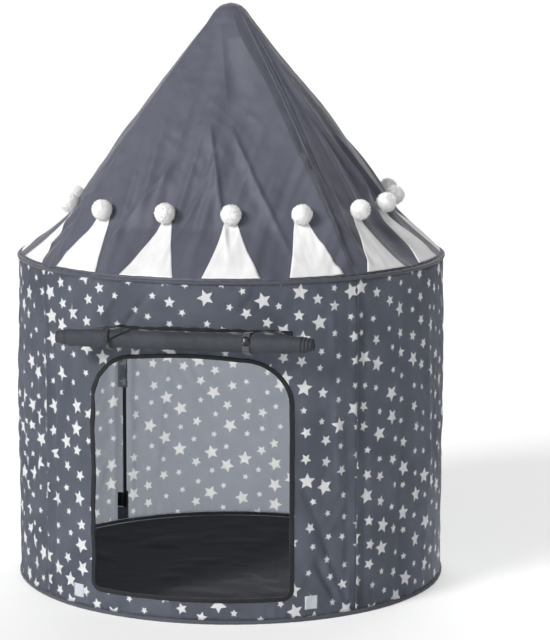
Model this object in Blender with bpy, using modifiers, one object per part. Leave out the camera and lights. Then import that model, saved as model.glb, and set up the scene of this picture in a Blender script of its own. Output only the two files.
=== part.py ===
"""A round play tent: a cloth wall between two spring hoops, under a four-sided cloth roof on poles.

The origin is on the ground under the apex, +Z is up, and the doorway faces -Y.
Angles go round the tent from the middle of the doorway, positive towards +X.
"""

import math

import bmesh
import bpy
from mathutils import Matrix, Vector

# The tent's main sizes, in metres
ring_radius = 0.500
wall_height = 0.760
tent_height = 1.350

# Cloth, seams and fits
cloth = 0.001
seat_gap = 0.0003
lay_gap = 0.0007
hoop_wire_radius = 0.0015
tunnel_radius = 0.0045
hem_radius = 0.0050
slit_half_width = 0.0004

# Wall
wall_waist = 0.005
pleat_depth = 0.006
pleats_round = 24

# Doorway and the tape round its edge
door_half_width = 0.2215
door_sill_height = 0.057
door_top_height = 0.587
door_crown_rise = 0.008
door_top_corner = 0.105
door_foot_corner = 0.016
tape_width = 0.0095
tape_leaf = 0.0009

# Roof
roof_bow = 0.020
ridge_top_radius = 0.024
roof_drape_depth = 0.004
hub_radius = 0.042
hub_skirt_length = 0.018
hub_dome_height = 0.012

# Poles
wall_pole_radius = 0.0045
roof_pole_radius = 0.0030
ferrule_wall = 0.0010
ferrule_length = 0.044
socket_wall = 0.0014
roof_socket_wall = 0.0017
socket_depth = 0.024
elbow_lower_length = 0.036
elbow_upper_length = 0.034

# Sleeves, pockets and their bands
sleeve_low_height = 0.356
sleeve_foot = 0.0130
roof_sleeve_width = 0.022
pocket_half_width = 0.016
pocket_top_height = 0.0445
pocket_low_height = 0.0115
band_low_height = 0.0460
band_top_height = 0.0830
band_slack = 0.0003
band_lean = 0.0012
tip_length = 0.014
tip_wall = 0.0007

# Crown triangles and pompoms
crown_tip_half_width = 0.007
pompom_radius = 0.020

# Rolled-up door curtain and its ties
roll_radius = 0.019
roll_pitch = 0.0022
roll_core_radius = 0.0030
roll_height = 0.634
roll_half_length = 0.256
roll_telescope = 0.034
curtain_seam_height = 0.664
curtain_seam_half_width = 0.200
tie_seam_height = 0.673
loop_seam_height = 0.602
tie_gap = 0.0006
tie_cord_radius = 0.0013
tie_strap_width = 0.015
left_tie_place = -0.166
left_tie_spread = 0.052
right_tie_place = 0.140
loop_strap_width = 0.007
bead_half_width = 0.0048
bead_half_height = 0.0086
bead_half_depth = 0.0040
button_half_width = 0.0062
button_half_height = 0.0085
button_half_depth = 0.0026

# Angles, in degrees, and counts
ring_steps = 48
panel_columns = 24
panel_rows = 5
roof_columns = 12
quarter = 90
seam_angles = {"front_left": -45, "front_right": 45, "rear_right": 135, "rear_left": -135}
panel_angles = {"front": 0, "right": 90, "rear": 180, "left": -90}
crown_angles = (-33.75, -11.25, 11.25, 33.75)
crown_half_angle = 7.5
sleeve_angles = (165, 128, 90, 52)
sleeve_last_angle = 15
tie_end_angle = 176
loop_end_angle = -170
button_angle = 154
telescope_power = 0.7
round_off = 0.000001

# Shares of the sizes that they follow
pleat_end_share = 0.90
pleat_fade_share = 0.14
roof_shoulder_share = 0.009
roof_square_share = 0.08
roof_flare_share = 0.84
roof_upper_round_share = 0.80
roof_lower_round_share = 0.89
roof_row_shares = (0.004, 0.014, 0.035, 0.08, 0.20, 0.40, 0.60, 0.772, 0.84, 0.90, 0.95, 1.0)
crown_row_shares = (0.772, 0.84, 0.90, 0.95, 0.993)
cap_row_shares = (0.013, 0.007, 0.004)
pompom_share = 0.785
pole_joint_share = 0.5
roof_sleeve_shares = (0.20, 0.40, 0.60, 0.772, 0.84, 0.90)
upper_line_shares = (0.22, 0.42)
lower_line_shares = (0.58, 0.86)
low_bend_share = 0.42
tuck_share = 0.12
tuck_rise_share = 0.22
side_share = 0.78
wide_share = 0.8
narrow_share = 0.35
hub_reach_share = 0.105
hub_inner_share = 0.045
hub_arm_end_share = 0.9
hub_top_drop_share = 0.55
elbow_seat_share = 0.8
meeting_range_shares = (0.8, 1.0)
door_crown_shares = ((0.9, 0.35), (0.35, 1.0))

half_cloth = cloth / 2
tent = bpy.data.collections.new("play_tent")
cutters = bpy.data.collections.new("cutters")


# Shared shaping steps


def around(angle, radius, height):
    """A point at an angle, in radians, from the middle of the doorway."""
    return Vector((radius * math.sin(angle), -radius * math.cos(angle), height))


def finish(name, colour, roughness=0.8, metallic=0.0):
    """A part's own material."""
    material = bpy.data.materials.new(name)
    material.use_nodes = True
    shader = material.node_tree.nodes["Principled BSDF"]
    shader.inputs["Base Color"].default_value = (*colour, 1.0)
    shader.inputs["Roughness"].default_value = roughness
    shader.inputs["Metallic"].default_value = metallic
    return material


slate = (0.085, 0.090, 0.110)
slate_dark = (0.045, 0.048, 0.058)
navy_black = (0.022, 0.023, 0.030)
print_blue = (0.125, 0.140, 0.165)
white = (0.870, 0.870, 0.875)
black = (0.012, 0.012, 0.013)
steel = (0.560, 0.570, 0.580)
light_grey = (0.480, 0.500, 0.530)


def part(name, mesh, material, location=(0, 0, 0), turn=0.0, smooth=True):
    """Put a finished mesh in the tent as a named piece, turned about Z in degrees."""
    thing = bpy.data.objects.new(name, mesh)
    thing.location = location
    thing.rotation_euler = (0, 0, math.radians(turn))
    if not mesh.materials:
        mesh.materials.append(material)
    if smooth:
        mesh.shade_smooth()
        mesh.set_sharp_from_angle(angle=math.radians(35))
    tent.objects.link(thing)
    return thing


def settled(mesh):
    """Turn every face of a closed mesh outward."""
    shape = bmesh.new()
    shape.from_mesh(mesh)
    bmesh.ops.recalc_face_normals(shape, faces=shape.faces)
    shape.to_mesh(mesh)
    shape.free()
    return mesh


def applied(thing):
    """The mesh that an object's modifiers or its curve make, as a mesh of its own."""
    bpy.context.scene.collection.objects.link(thing)
    bpy.context.view_layer.update()
    graph = bpy.context.evaluated_depsgraph_get()
    mesh = bpy.data.meshes.new_from_object(thing.evaluated_get(graph))
    mesh.materials.clear()
    data = thing.data
    was_curve = thing.type == "CURVE"
    bpy.data.objects.remove(thing)
    if was_curve:
        bpy.data.curves.remove(data)
        shape = bmesh.new()
        shape.from_mesh(mesh)
        bmesh.ops.remove_doubles(shape, verts=shape.verts, dist=seat_gap / 10)
        shape.to_mesh(mesh)
        shape.free()
    return settled(mesh)


def cloth_sheet(columns, rows, place, thickness=cloth):
    """A sheet of cloth: a grid whose corners place(across, up) sets, both from 0 to 1, made solid."""
    shape = bmesh.new()
    bmesh.ops.create_grid(shape, x_segments=columns, y_segments=rows, size=0.5)
    for corner in shape.verts:
        corner.co = place(corner.co.x + 0.5, corner.co.y + 0.5)
    bmesh.ops.triangulate(shape, faces=shape.faces, quad_method="FIXED")
    mesh = bpy.data.meshes.new("sheet")
    shape.to_mesh(mesh)
    shape.free()
    thing = bpy.data.objects.new("sheet", mesh)
    solid = thing.modifiers.new("Thickness", "SOLIDIFY")
    solid.thickness = thickness
    solid.offset = 0
    solid.use_even_offset = True
    return applied(thing)


def turned(profile, steps, closed=False):
    """A profile of (radius, height) points turned about Z."""
    mesh = bpy.data.meshes.new("profile")
    count = len(profile)
    edges = [(i, (i + 1) % count) for i in range(count if closed else count - 1)]
    mesh.from_pydata([(r, 0, z) for r, z in profile], edges, [])
    thing = bpy.data.objects.new("profile", mesh)
    screw = thing.modifiers.new("Turn", "SCREW")
    screw.steps = steps
    screw.render_steps = steps
    screw.use_merge_vertices = True
    screw.merge_threshold = seat_gap / 10
    return applied(thing)


def rod(points, radius, resolution=1):
    """A round rod or cord along points, with closed ends."""
    curve = bpy.data.curves.new("rod", "CURVE")
    curve.dimensions = "3D"
    curve.bevel_depth = radius
    curve.bevel_resolution = resolution
    curve.use_fill_caps = True
    line = curve.splines.new("POLY")
    line.points.add(len(points) - 1)
    for knot, place in zip(line.points, points):
        knot.co = (*place, 1)
    return applied(bpy.data.objects.new("rod", curve))


def prism(outline, low, high):
    """A flat outline of (x, z) points made solid from y = low to y = high."""
    curve = bpy.data.curves.new("outline", "CURVE")
    curve.dimensions = "2D"
    curve.fill_mode = "BOTH"
    curve.extrude = abs(high - low) / 2
    line = curve.splines.new("POLY")
    line.points.add(len(outline) - 1)
    for knot, (x, z) in zip(line.points, outline):
        knot.co = (x, z, 0, 1)
    line.use_cyclic_u = True
    mesh = applied(bpy.data.objects.new("outline", curve))
    mesh.transform(Matrix.Translation((0, (low + high) / 2, 0)) @ Matrix.Rotation(math.pi / 2, 4, "X"))
    return mesh


def cylinder(radius, start, end, sides=16):
    """A cylinder between two points."""
    start, end = Vector(start), Vector(end)
    shape = bmesh.new()
    bmesh.ops.create_cone(
        shape, cap_ends=True, segments=sides, radius1=radius, radius2=radius, depth=(end - start).length
    )
    mesh = bpy.data.meshes.new("cylinder")
    shape.to_mesh(mesh)
    shape.free()
    turn = Vector((0, 0, 1)).rotation_difference(end - start).to_matrix().to_4x4()
    mesh.transform(Matrix.Translation((start + end) / 2) @ turn)
    return mesh


def ball(half_sizes, centre, segments=12, rings=8):
    """A round or oval body."""
    shape = bmesh.new()
    bmesh.ops.create_uvsphere(shape, u_segments=segments, v_segments=rings, radius=1)
    mesh = bpy.data.meshes.new("ball")
    shape.to_mesh(mesh)
    shape.free()
    mesh.transform(Matrix.Translation(centre) @ Matrix.Diagonal((*half_sizes, 1)))
    return mesh


def shaped(mesh, tools, operation):
    """Join tools to a mesh or cut them out of it."""
    thing = bpy.data.objects.new("blank", mesh)
    held = []
    for number, tool in enumerate(tools):
        cutter = bpy.data.objects.new(f"cutter_{number}", tool)
        cutter.hide_render = True
        cutter.display_type = "WIRE"
        cutters.objects.link(cutter)
        held.append(cutter)
        step = thing.modifiers.new(f"Shape {number}", "BOOLEAN")
        step.operation = operation
        step.object = cutter
    mesh = applied(thing)
    for cutter in held:
        bpy.data.objects.remove(cutter)
    return mesh


def at_each_seam(name, mesh, material, location=(0, 0, 0)):
    """The same piece at each of the four pole seams."""
    for corner, angle in seam_angles.items():
        place = Matrix.Rotation(math.radians(angle), 4, "Z") @ Vector(location)
        part(f"{name}_{corner}", mesh, material, location=place, turn=angle)


# Floor and hoops


def tunnel_profile(radius, height):
    """The closed outline of a cloth tunnel round a hoop, with a slit on its inner side."""
    open_at = math.asin(slit_half_width / radius)
    hollow = (hoop_wire_radius + seat_gap) / math.cos(math.pi / 4)
    open_in = math.asin(slit_half_width / hollow)
    outer = [math.pi + open_at, *(math.radians(a) for a in (240, 300, 360, 420, 480)), 3 * math.pi - open_at]
    inner = [math.pi - open_in, *(math.radians(a) for a in (90, 0, -90)), open_in - math.pi]
    points = [(ring_radius + radius * math.cos(a), height + radius * math.sin(a)) for a in outer]
    points += [(ring_radius + hollow * math.cos(a), height + hollow * math.sin(a)) for a in inner]
    return points


hem_centre = hem_radius * math.sin(math.pi / 3)
hem_top = 2 * hem_centre
tunnel_low = wall_height - tunnel_radius * math.sin(math.pi / 3)
wall_foot = hem_top + seat_gap
wall_top = tunnel_low - seat_gap
floor_radius = ring_radius - hem_radius / 2 * (1 + cloth / hem_centre) - 2 * seat_gap


def hoop(height):
    """A spring-steel hoop."""
    bpy.ops.mesh.primitive_torus_add(
        major_segments=ring_steps, minor_segments=4, major_radius=ring_radius, minor_radius=hoop_wire_radius
    )
    made = bpy.context.object
    mesh = made.data
    bpy.data.objects.remove(made)
    mesh.transform(Matrix.Translation((0, 0, height)))
    return mesh


def floor_and_hoops():
    """The groundsheet, and the two hoops in their sewn tunnels."""
    shape = bmesh.new()
    bmesh.ops.create_cone(
        shape, cap_ends=True, segments=ring_steps, radius1=floor_radius, radius2=floor_radius, depth=cloth
    )
    ground = bpy.data.meshes.new("floor")
    shape.to_mesh(ground)
    shape.free()
    ground.transform(Matrix.Translation((0, 0, half_cloth)))
    part("floor_sheet", ground, finish("floor cloth", navy_black))
    part("bottom_hoop", hoop(hem_centre), finish("bottom hoop steel", steel, 0.35, 1.0))
    part("top_hoop", hoop(wall_height), finish("top hoop steel", steel, 0.35, 1.0))
    hem = turned(tunnel_profile(hem_radius, hem_centre), ring_steps, closed=True)
    part("bottom_hem", hem, finish("hem tape", slate_dark))
    tunnel = turned(tunnel_profile(tunnel_radius, wall_height), ring_steps, closed=True)
    part("top_hem", tunnel, finish("tunnel tape", slate_dark))


# Wall


def wall_radius(angle, height):
    """How far out the wall is, at an angle from the middle of its panel.

    The cloth is drawn in a little between the hoops and hangs in upright pleats near the seams.
    """
    up = min(max((height - wall_foot) / (wall_top - wall_foot), 0), 1)
    slack = math.sin(math.pi * up)
    share = abs(math.degrees(angle)) / (quarter / 2)
    calm = min(1, max(0, (pleat_end_share - share) / pleat_fade_share))
    pleat = slack * share**2 * calm * math.cos(pleats_round * angle)
    return ring_radius - wall_waist * slack * math.cos(2 * angle) + pleat_depth * pleat


def wall_place(thickness_gap=0.0):
    """Where the corners of a wall panel's grid go."""
    half = math.radians(quarter / 2) - (seat_gap / 2 + thickness_gap) / ring_radius

    def place(across, up):
        angle = half * (2 * across - 1)
        height = wall_foot + (wall_top - wall_foot) * up
        return around(angle, wall_radius(angle, height), height)

    return place


def door_outline(grow=0.0):
    """The doorway's outline as (x, z) points, grown outward by a distance."""
    wide = door_half_width + grow
    sill = door_sill_height - grow
    top = door_top_height + grow
    corner = door_top_corner + grow
    foot = max(door_foot_corner + grow, seat_gap)
    right = [
        (wide - foot + foot * math.sin(a), sill + foot - foot * math.cos(a))
        for a in steps_to(math.pi / 2, 2)
    ]
    right += [
        (wide - corner + corner * math.cos(a), top - corner + corner * math.sin(a))
        for a in steps_to(math.pi / 2, 6)[:-1]
    ]
    right += [((wide - corner) * x, top + door_crown_rise * z) for x, z in door_crown_shares]
    return right + [(-x, z) for x, z in reversed(right)]


def steps_to(angle, count):
    """Even steps from zero to an angle."""
    return [angle * i / count for i in range(count + 1)]


def wall_slab(thickness):
    """A wall panel's cloth at any thickness, as a solid."""
    return cloth_sheet(panel_columns, panel_rows, wall_place(), thickness)


def wall():
    """Four printed wall panels, and the folded tape that binds the doorway's edge.

    Each panel carries the sleeve of the pole at its right-hand seam, sewn on along one side.
    """
    sleeve = wall_sleeve()
    sleeve.transform(Matrix.Rotation(math.radians(quarter / 2), 4, "Z"))
    look = finish("printed wall cloth", print_blue)
    plain = shaped(wall_slab(cloth), [sleeve], "UNION")
    for side, angle in panel_angles.items():
        if side != "front":
            part(f"wall_panel_{side}", plain, look, turn=angle)
    reach = (-ring_radius - door_half_width, -ring_radius / 2)
    front = shaped(plain.copy(), [prism(door_outline(), *reach)], "DIFFERENCE")
    part("wall_panel_front", front, finish("printed front cloth", print_blue))

    slot = cloth + 2 * seat_gap
    folded = wall_slab(slot + 2 * tape_leaf)
    folded = shaped(folded, [prism(door_outline(tape_width), *reach)], "INTERSECT")
    folded = shaped(folded, [prism(door_outline(-seat_gap - tape_leaf), *reach)], "DIFFERENCE")
    edge = shaped(wall_slab(slot), [prism(door_outline(-seat_gap), *reach)], "DIFFERENCE")
    folded = shaped(folded, [edge], "DIFFERENCE")
    part("door_binding", folded, finish("binding tape", slate_dark))


# Roof

roof_apex_height = tent_height - 2 * cloth
roof_rise = roof_apex_height - wall_height
slope = Vector((ring_radius, 0, -roof_rise)).normalized()
foot_reach = tunnel_radius + seat_gap + half_cloth / 2
roof_foot_radius = ring_radius - slope.x * foot_reach
roof_foot_height = wall_height - slope.z * foot_reach
ridge_inward = Vector((0, -slope.z, -slope.x))
pole_depth = half_cloth + 2 * seat_gap + roof_pole_radius + roof_socket_wall


def ridge_radius(share):
    """How far out a ridge is, at a share of the way down: a rounded top, and poles that bow a little."""
    shoulder = (1 - share) * (1 - math.exp(-share / roof_shoulder_share))
    return ridge_top_radius * shoulder + roof_foot_radius * share + roof_bow * math.sin(math.pi * share)


def roof_radius(angle, share):
    """How far out the roof is at an angle from its panel's middle, and a share of the way down."""
    ridge = ridge_radius(share)
    lower = min(share / roof_flare_share, 1)
    roundness = roof_upper_round_share + (roof_lower_round_share - roof_upper_round_share) * lower
    if share > roof_flare_share:
        roundness += (1 - roundness) * (share - roof_flare_share) / (1 - roof_flare_share)
    if share < roof_square_share:
        roundness += (1 - roundness) * (1 - share / roof_square_share)
    hang = math.sin(math.pi * lower) ** 2 * math.cos(12 * angle) * math.cos(2 * angle)
    return ridge * (1 - (1 - roundness) * math.cos(2 * angle)) + roof_drape_depth * hang


def roof_height(share):
    """The height at a share of the way down from the apex."""
    return roof_apex_height - (roof_apex_height - roof_foot_height) * share


def roof_point(angle, share, out=0.0):
    """A point on the roof, at an angle in radians from its panel's middle, moved out of the cloth."""
    point = around(angle, roof_radius(angle, share), roof_height(share))
    return point + out * Vector((math.sin(angle) * -slope.z, -math.cos(angle) * -slope.z, slope.x))


def between(shares, along):
    """The value at a place from 0 to 1 along a list of shares."""
    spot = along * (len(shares) - 1)
    first = min(int(spot + round_off), len(shares) - 2)
    return shares[first] + (shares[first + 1] - shares[first]) * (spot - first)


def roof():
    """Four plain roof panels, and the small cap over their tips.

    Each panel carries the sleeve of the pole along its right-hand ridge, sewn on along one side.
    """

    def place(across, up):
        share = between(roof_row_shares, up)
        half = math.radians(quarter / 2) - (seat_gap / 2 + half_cloth / 4) / ridge_radius(share)
        return roof_point(half * (2 * across - 1), share)

    panel = cloth_sheet(roof_columns, len(roof_row_shares) - 1, place)
    sleeve = roof_sleeve()
    sleeve.transform(Matrix.Rotation(math.radians(quarter / 2), 4, "Z"))
    panel = shaped(panel, [sleeve], "UNION")
    look = finish("roof cloth", slate)
    for side, angle in panel_angles.items():
        part(f"roof_panel_{side}", panel, look, turn=angle)

    lift = half_cloth + 2 * seat_gap
    inside = [(ridge_radius(share), roof_height(share) + lift) for share in cap_row_shares]
    inside.append((0, tent_height - cloth))
    outside = [(radius, height + cloth) for radius, height in reversed(inside)]
    part("apex_cap", turned([*inside[::-1], *outside[::-1]], 16), finish("cap", slate))


# Poles, drawn in the plane of a ridge with the doorway's side as -Y and moved to each seam

wall_pole_radial = ring_radius - tunnel_radius - seat_gap - wall_pole_radius - socket_wall - seat_gap
pole_stand_off = ring_radius - half_cloth - wall_pole_radial


def ridge_point(share, depth=0.0, aside=0.0):
    """A point beside a ridge, moved in from the cloth and to one side, with the ridge towards -Y."""
    radius = ridge_radius(share)
    height = roof_height(share)
    if aside:
        angle = math.radians(quarter / 2) - abs(aside) / radius
        radius = roof_radius(angle, share) * math.cos(aside / radius)
    return Vector((aside, -radius, height)) + depth * Vector((0, -slope.z, -slope.x))


def ridge_line(start, end, count, depth):
    """Points along a ridge, in from the cloth."""
    return [ridge_point(start + (end - start) * i / count, depth) for i in range(count + 1)]


def meeting_share():
    """Where the roof pole's line crosses the wall pole's line."""
    low, high = meeting_range_shares
    for _ in range(40):
        middle = (low + high) / 2
        if -ridge_point(middle, pole_depth).y < wall_pole_radial:
            low = middle
        else:
            high = middle
    return low


def elbow_socket():
    """Where the roof pole's line meets the wall pole's, and the direction up the roof from there."""
    share = meeting_share()
    corner = ridge_point(share, pole_depth)
    return corner, (ridge_point(share - elbow_upper_length, pole_depth) - corner).normalized()


def hub_socket():
    """The mouth of a hub's socket, and the direction into it."""
    mouth = ridge_point(hub_reach_share, pole_depth)
    return mouth, (ridge_point(hub_inner_share, pole_depth) - mouth).normalized()


def hub_and_elbows():
    """The moulded hub at the apex, and the elbows that join the roof poles to the wall poles."""
    corner, up = elbow_socket()
    lower_end = corner - Vector((0, 0, elbow_lower_length))
    upper_end = corner + up * elbow_upper_length
    wide = wall_pole_radius + seat_gap + socket_wall
    slim = roof_pole_radius + roof_socket_wall
    body = cylinder(wide, lower_end, corner - Vector((0, 0, slim * elbow_seat_share)), 12)
    arm = cylinder(slim, corner, upper_end, 8)
    elbow = shaped(body, [arm, ball((slim, slim, slim), corner, 8, 6)], "UNION")
    overrun = Vector((0, 0, socket_wall))
    wall_bore_end = lower_end + Vector((0, 0, socket_depth))
    wall_bore = cylinder(wall_pole_radius + seat_gap, lower_end - overrun, wall_bore_end, 12)
    roof_bore_mouth = upper_end + up * socket_wall
    roof_bore = cylinder(roof_pole_radius + seat_gap, roof_bore_mouth, upper_end - up * socket_depth, 12)
    elbow = shaped(elbow, [wall_bore, roof_bore], "DIFFERENCE")
    at_each_seam("pole_elbow", elbow, finish("elbow plastic", black, 0.45))

    mouth, line = hub_socket()
    inner = mouth + line * ((-mouth.y - hub_radius * hub_arm_end_share) / line.y)
    rim = mouth + line * ((-mouth.y - hub_radius) / line.y)
    low = Vector((0, 0, rim.z - hub_skirt_length))
    high = Vector((0, 0, rim.z - slim * hub_top_drop_share))
    dome = hub_radius - seat_gap
    crown = ball((dome, dome, hub_dome_height), high, 16, 6)
    arms, bores = [], []
    for angle in seam_angles.values():
        turn = Matrix.Rotation(math.radians(angle), 4, "Z")
        arms.append(cylinder(slim, turn @ mouth, turn @ inner, 8))
        start, end = mouth - line * socket_wall, mouth + line * socket_depth
        bores.append(cylinder(roof_pole_radius + seat_gap, turn @ start, turn @ end, 8))
    hub = shaped(cylinder(hub_radius, low, high, 16), [crown, *arms], "UNION")
    hub = shaped(hub, bores, "DIFFERENCE")
    part("apex_hub", hub, finish("hub plastic", black, 0.45))
    return lower_end.z + socket_depth


def poles():
    """The wall poles, each with a ferrule and a rubber tip, and the roof poles, each with a ferrule."""
    wall_pole_top = hub_and_elbows()
    axis = Vector((0, -wall_pole_radial, 0))
    half = Vector((0, 0, ferrule_length / 2))
    joint = axis + Vector((0, 0, sleeve_low_height + ferrule_length))
    tuck = pocket_low_height + (pocket_top_height - pocket_low_height) * tuck_rise_share
    foot = axis + Vector((0, 0, tuck + half_cloth + seat_gap + tip_wall))
    top = axis + Vector((0, 0, wall_pole_top - seat_gap))
    ferrule = cylinder(wall_pole_radius + ferrule_wall, joint - half, joint + half, 12)
    tip_low, tip_high = foot - Vector((0, 0, tip_wall)), foot + Vector((0, 0, tip_length))
    tip = cylinder(wall_pole_radius + tip_wall, tip_low, tip_high, 12)
    pole = shaped(cylinder(wall_pole_radius, foot, top, 12), [ferrule, tip], "UNION")
    at_each_seam("wall_pole", pole, finish("wall pole", black, 0.4))

    mouth, inward = hub_socket()
    corner, up = elbow_socket()
    middle = ridge_point(pole_joint_share, pole_depth)
    along = ridge_point(pole_joint_share + seat_gap, pole_depth) - middle
    along = along.normalized() * ferrule_length / 2
    line = [
        mouth + inward * (socket_depth - seat_gap),
        mouth,
        *ridge_line(*upper_line_shares, 2, pole_depth),
        *ridge_line(*lower_line_shares, 3, pole_depth),
        corner + up * elbow_upper_length,
        corner + up * (elbow_upper_length - socket_depth + seat_gap),
    ]
    bump = cylinder(roof_pole_radius + ferrule_wall, middle - along, middle + along, 8)
    pole = shaped(rod(line, roof_pole_radius), [bump], "UNION")
    at_each_seam("roof_pole", pole, finish("roof pole", black, 0.4))


# Sleeves, pockets and bands round the poles


def hugging(hug, foot, lean=0.0, sewn=False):
    """A cloth's path over a wall pole, as (aside, inward) points from the wall's inner face.

    Its left-hand edge is either sewn to the wall or lies just clear of it.
    """
    lie = half_cloth + lay_gap
    low = pole_stand_off * low_bend_share
    points = [(-foot, 0 if sewn else lie), (-hug - lie, low)]
    for angle in sleeve_angles:
        turn = math.radians(angle)
        points.append((hug * math.cos(turn), pole_stand_off + hug * math.sin(turn)))
    turn = math.radians(sleeve_last_angle)
    points.append((hug * math.cos(turn) + lean, pole_stand_off + hug * math.sin(turn)))
    return points + [(hug + lie + 2 * lean, low), (foot, lie)]


def along_path(path, across):
    """The point at a share from 0 to 1 along a path's own points."""
    spot = across * (len(path) - 1)
    first = min(int(spot + round_off), len(path) - 2)
    rest = spot - first
    (a, b), (c, d) = path[first], path[first + 1]
    return a + (c - a) * rest, b + (d - b) * rest


def channel(path, low, high, tuck=False):
    """Cloth over a pole from one height to another, drawn in to the wall at its foot if it is tucked."""
    inner_face = ring_radius - half_cloth
    rows = (0.0, tuck_rise_share, 1.0) if tuck else (0.0, 1.0)

    def place(across, up):
        aside, inward = along_path(path, across)
        row = between(rows, up)
        if tuck and row == 0:
            inward = half_cloth + lay_gap + (inward - half_cloth - lay_gap) * tuck_share
        return Vector((aside, -(inner_face - inward), low + (high - low) * row))

    return cloth_sheet(len(path) - 1, len(rows) - 1, place)


def wall_sleeve():
    """The cloth tube over the upper part of a wall pole."""
    top = wall_height - elbow_lower_length - socket_wall - 3 * seat_gap
    hug = wall_pole_radius + ferrule_wall + 2 * seat_gap + cloth
    return channel(hugging(hug, sleeve_foot, sewn=True), sleeve_low_height, top)


def roof_sleeve():
    """The cloth tube over a roof pole, under a ridge."""
    bulge = pole_depth + roof_pole_radius + ferrule_wall + seat_gap
    snug = roof_pole_radius + ferrule_wall + 3 * seat_gap + cloth
    edge = roof_sleeve_width / 2
    lie = cloth + lay_gap
    shoulder, side = bulge + half_cloth, bulge * side_share
    section = [(-edge, half_cloth), (-snug - cloth, lie + half_cloth), (-snug * wide_share, side)]
    section += [(-snug * narrow_share, shoulder), (snug * narrow_share, shoulder)]
    section += [(snug * wide_share, side), (snug + cloth, lie + half_cloth), (edge, lie)]

    def place(across, up):
        aside, depth = along_path(section, across)
        return ridge_point(between(roof_sleeve_shares, up), depth, aside)

    return cloth_sheet(len(section) - 1, len(roof_sleeve_shares) - 1, place)


def pockets():
    """The pocket round each wall pole's foot, and the band above it that opens from its right-hand edge."""
    hug = wall_pole_radius + seat_gap + tip_wall + seat_gap + half_cloth
    pocket = channel(hugging(hug, pocket_half_width), pocket_low_height, pocket_top_height, tuck=True)
    at_each_seam("pole_pocket", pocket, finish("pocket cloth", slate))
    hinge = Vector((-pocket_half_width, -(ring_radius - cloth - lay_gap), band_low_height))
    band = channel(hugging(hug + band_slack, pocket_half_width, band_lean), band_low_height, band_top_height)
    band.transform(Matrix.Translation(-hinge))
    at_each_seam("pocket_band", band, finish("hook and loop band", black, 0.9), hinge)


# Crown


def crown():
    """The white crown: four cloth triangles a side, each with a pompom on its tip."""
    lift = cloth + lay_gap
    base = math.radians(crown_half_angle)
    look = finish("white crown cloth", white, 0.8)
    for number, degrees in enumerate(crown_angles, 1):
        middle = math.radians(degrees)

        def place(across, up):
            share = between(crown_row_shares, up)
            down = (share - crown_row_shares[0]) / (crown_row_shares[-1] - crown_row_shares[0])
            tip = crown_tip_half_width / roof_radius(middle, share)
            half = tip + (base - tip) * down
            return roof_point(middle + half * (2 * across - 1), share, lift)

        triangle = cloth_sheet(4, len(crown_row_shares) - 1, place)
        seat = roof_point(middle, pompom_share, lift - half_cloth - seat_gap + pompom_radius)
        shape = bmesh.new()
        bmesh.ops.create_icosphere(shape, subdivisions=2, radius=pompom_radius)
        pompom = bpy.data.meshes.new("pompom")
        shape.to_mesh(pompom)
        shape.free()
        pompom.transform(Matrix.Translation(seat))
        piece = shaped(triangle, [pompom], "UNION")
        for side, angle in panel_angles.items():
            part(f"crown_{side}_{number}", piece, look, turn=angle)


# Door curtain, rolled up over the doorway

roll_line = -(ring_radius + half_cloth + seat_gap + tape_leaf + 2 * seat_gap + roll_radius)
roll_layer = roll_radius - half_cloth


def wall_face(x, height, out):
    """A point outside the front panel, at a place across the doorway."""
    angle = math.asin(x / ring_radius)
    return around(angle, wall_radius(angle, height) + out, height)


def curtain():
    """The rolled curtain, and the stretch of it between its seam and the roll."""
    per_turn = 10
    turns = int((roll_layer - roll_core_radius) / roll_pitch * per_turn)

    def rolled(across, up):
        turn = up * turns / per_turn
        radius = roll_layer - roll_pitch * turn
        angle = 2 * math.pi * turn
        half = roll_half_length + roll_telescope * up**telescope_power
        return Vector((half * (2 * across - 1), radius * math.cos(angle), -radius * math.sin(angle)))

    roll = cloth_sheet(1, turns, rolled)
    part("door_curtain_roll", roll, finish("curtain lining", slate), location=(0, roll_line, roll_height))

    def hung(across, up):
        top = wall_face(curtain_seam_half_width * (2 * across - 1), curtain_seam_height, cloth + seat_gap)
        aside = roll_half_length * (2 * across - 1)
        low = Vector((aside, roll_line + roll_layer, roll_height + 2 * seat_gap))
        return low + (top - low) * up

    part("door_curtain_sheet", cloth_sheet(12, 3, hung), finish("curtain cloth", print_blue))


def over_roll(x, seam_height, radius, last, count, below=False):
    """A tie's path from its seam on the wall, round the roll, to an angle on the roll's front."""
    start = wall_face(x, seam_height, cloth + seat_gap)
    centre = Vector((x, roll_line, roll_height))
    away = start - centre
    bearing = math.atan2(away.z, away.y)
    lean = math.acos(radius / math.hypot(away.y, away.z))
    first = bearing - lean if below else bearing + lean
    last = math.radians(last)
    turns = [first + (last - first) * i / count for i in range(count + 1)]
    return [start] + [centre + radius * Vector((0, math.cos(t), math.sin(t))) for t in turns]


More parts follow.
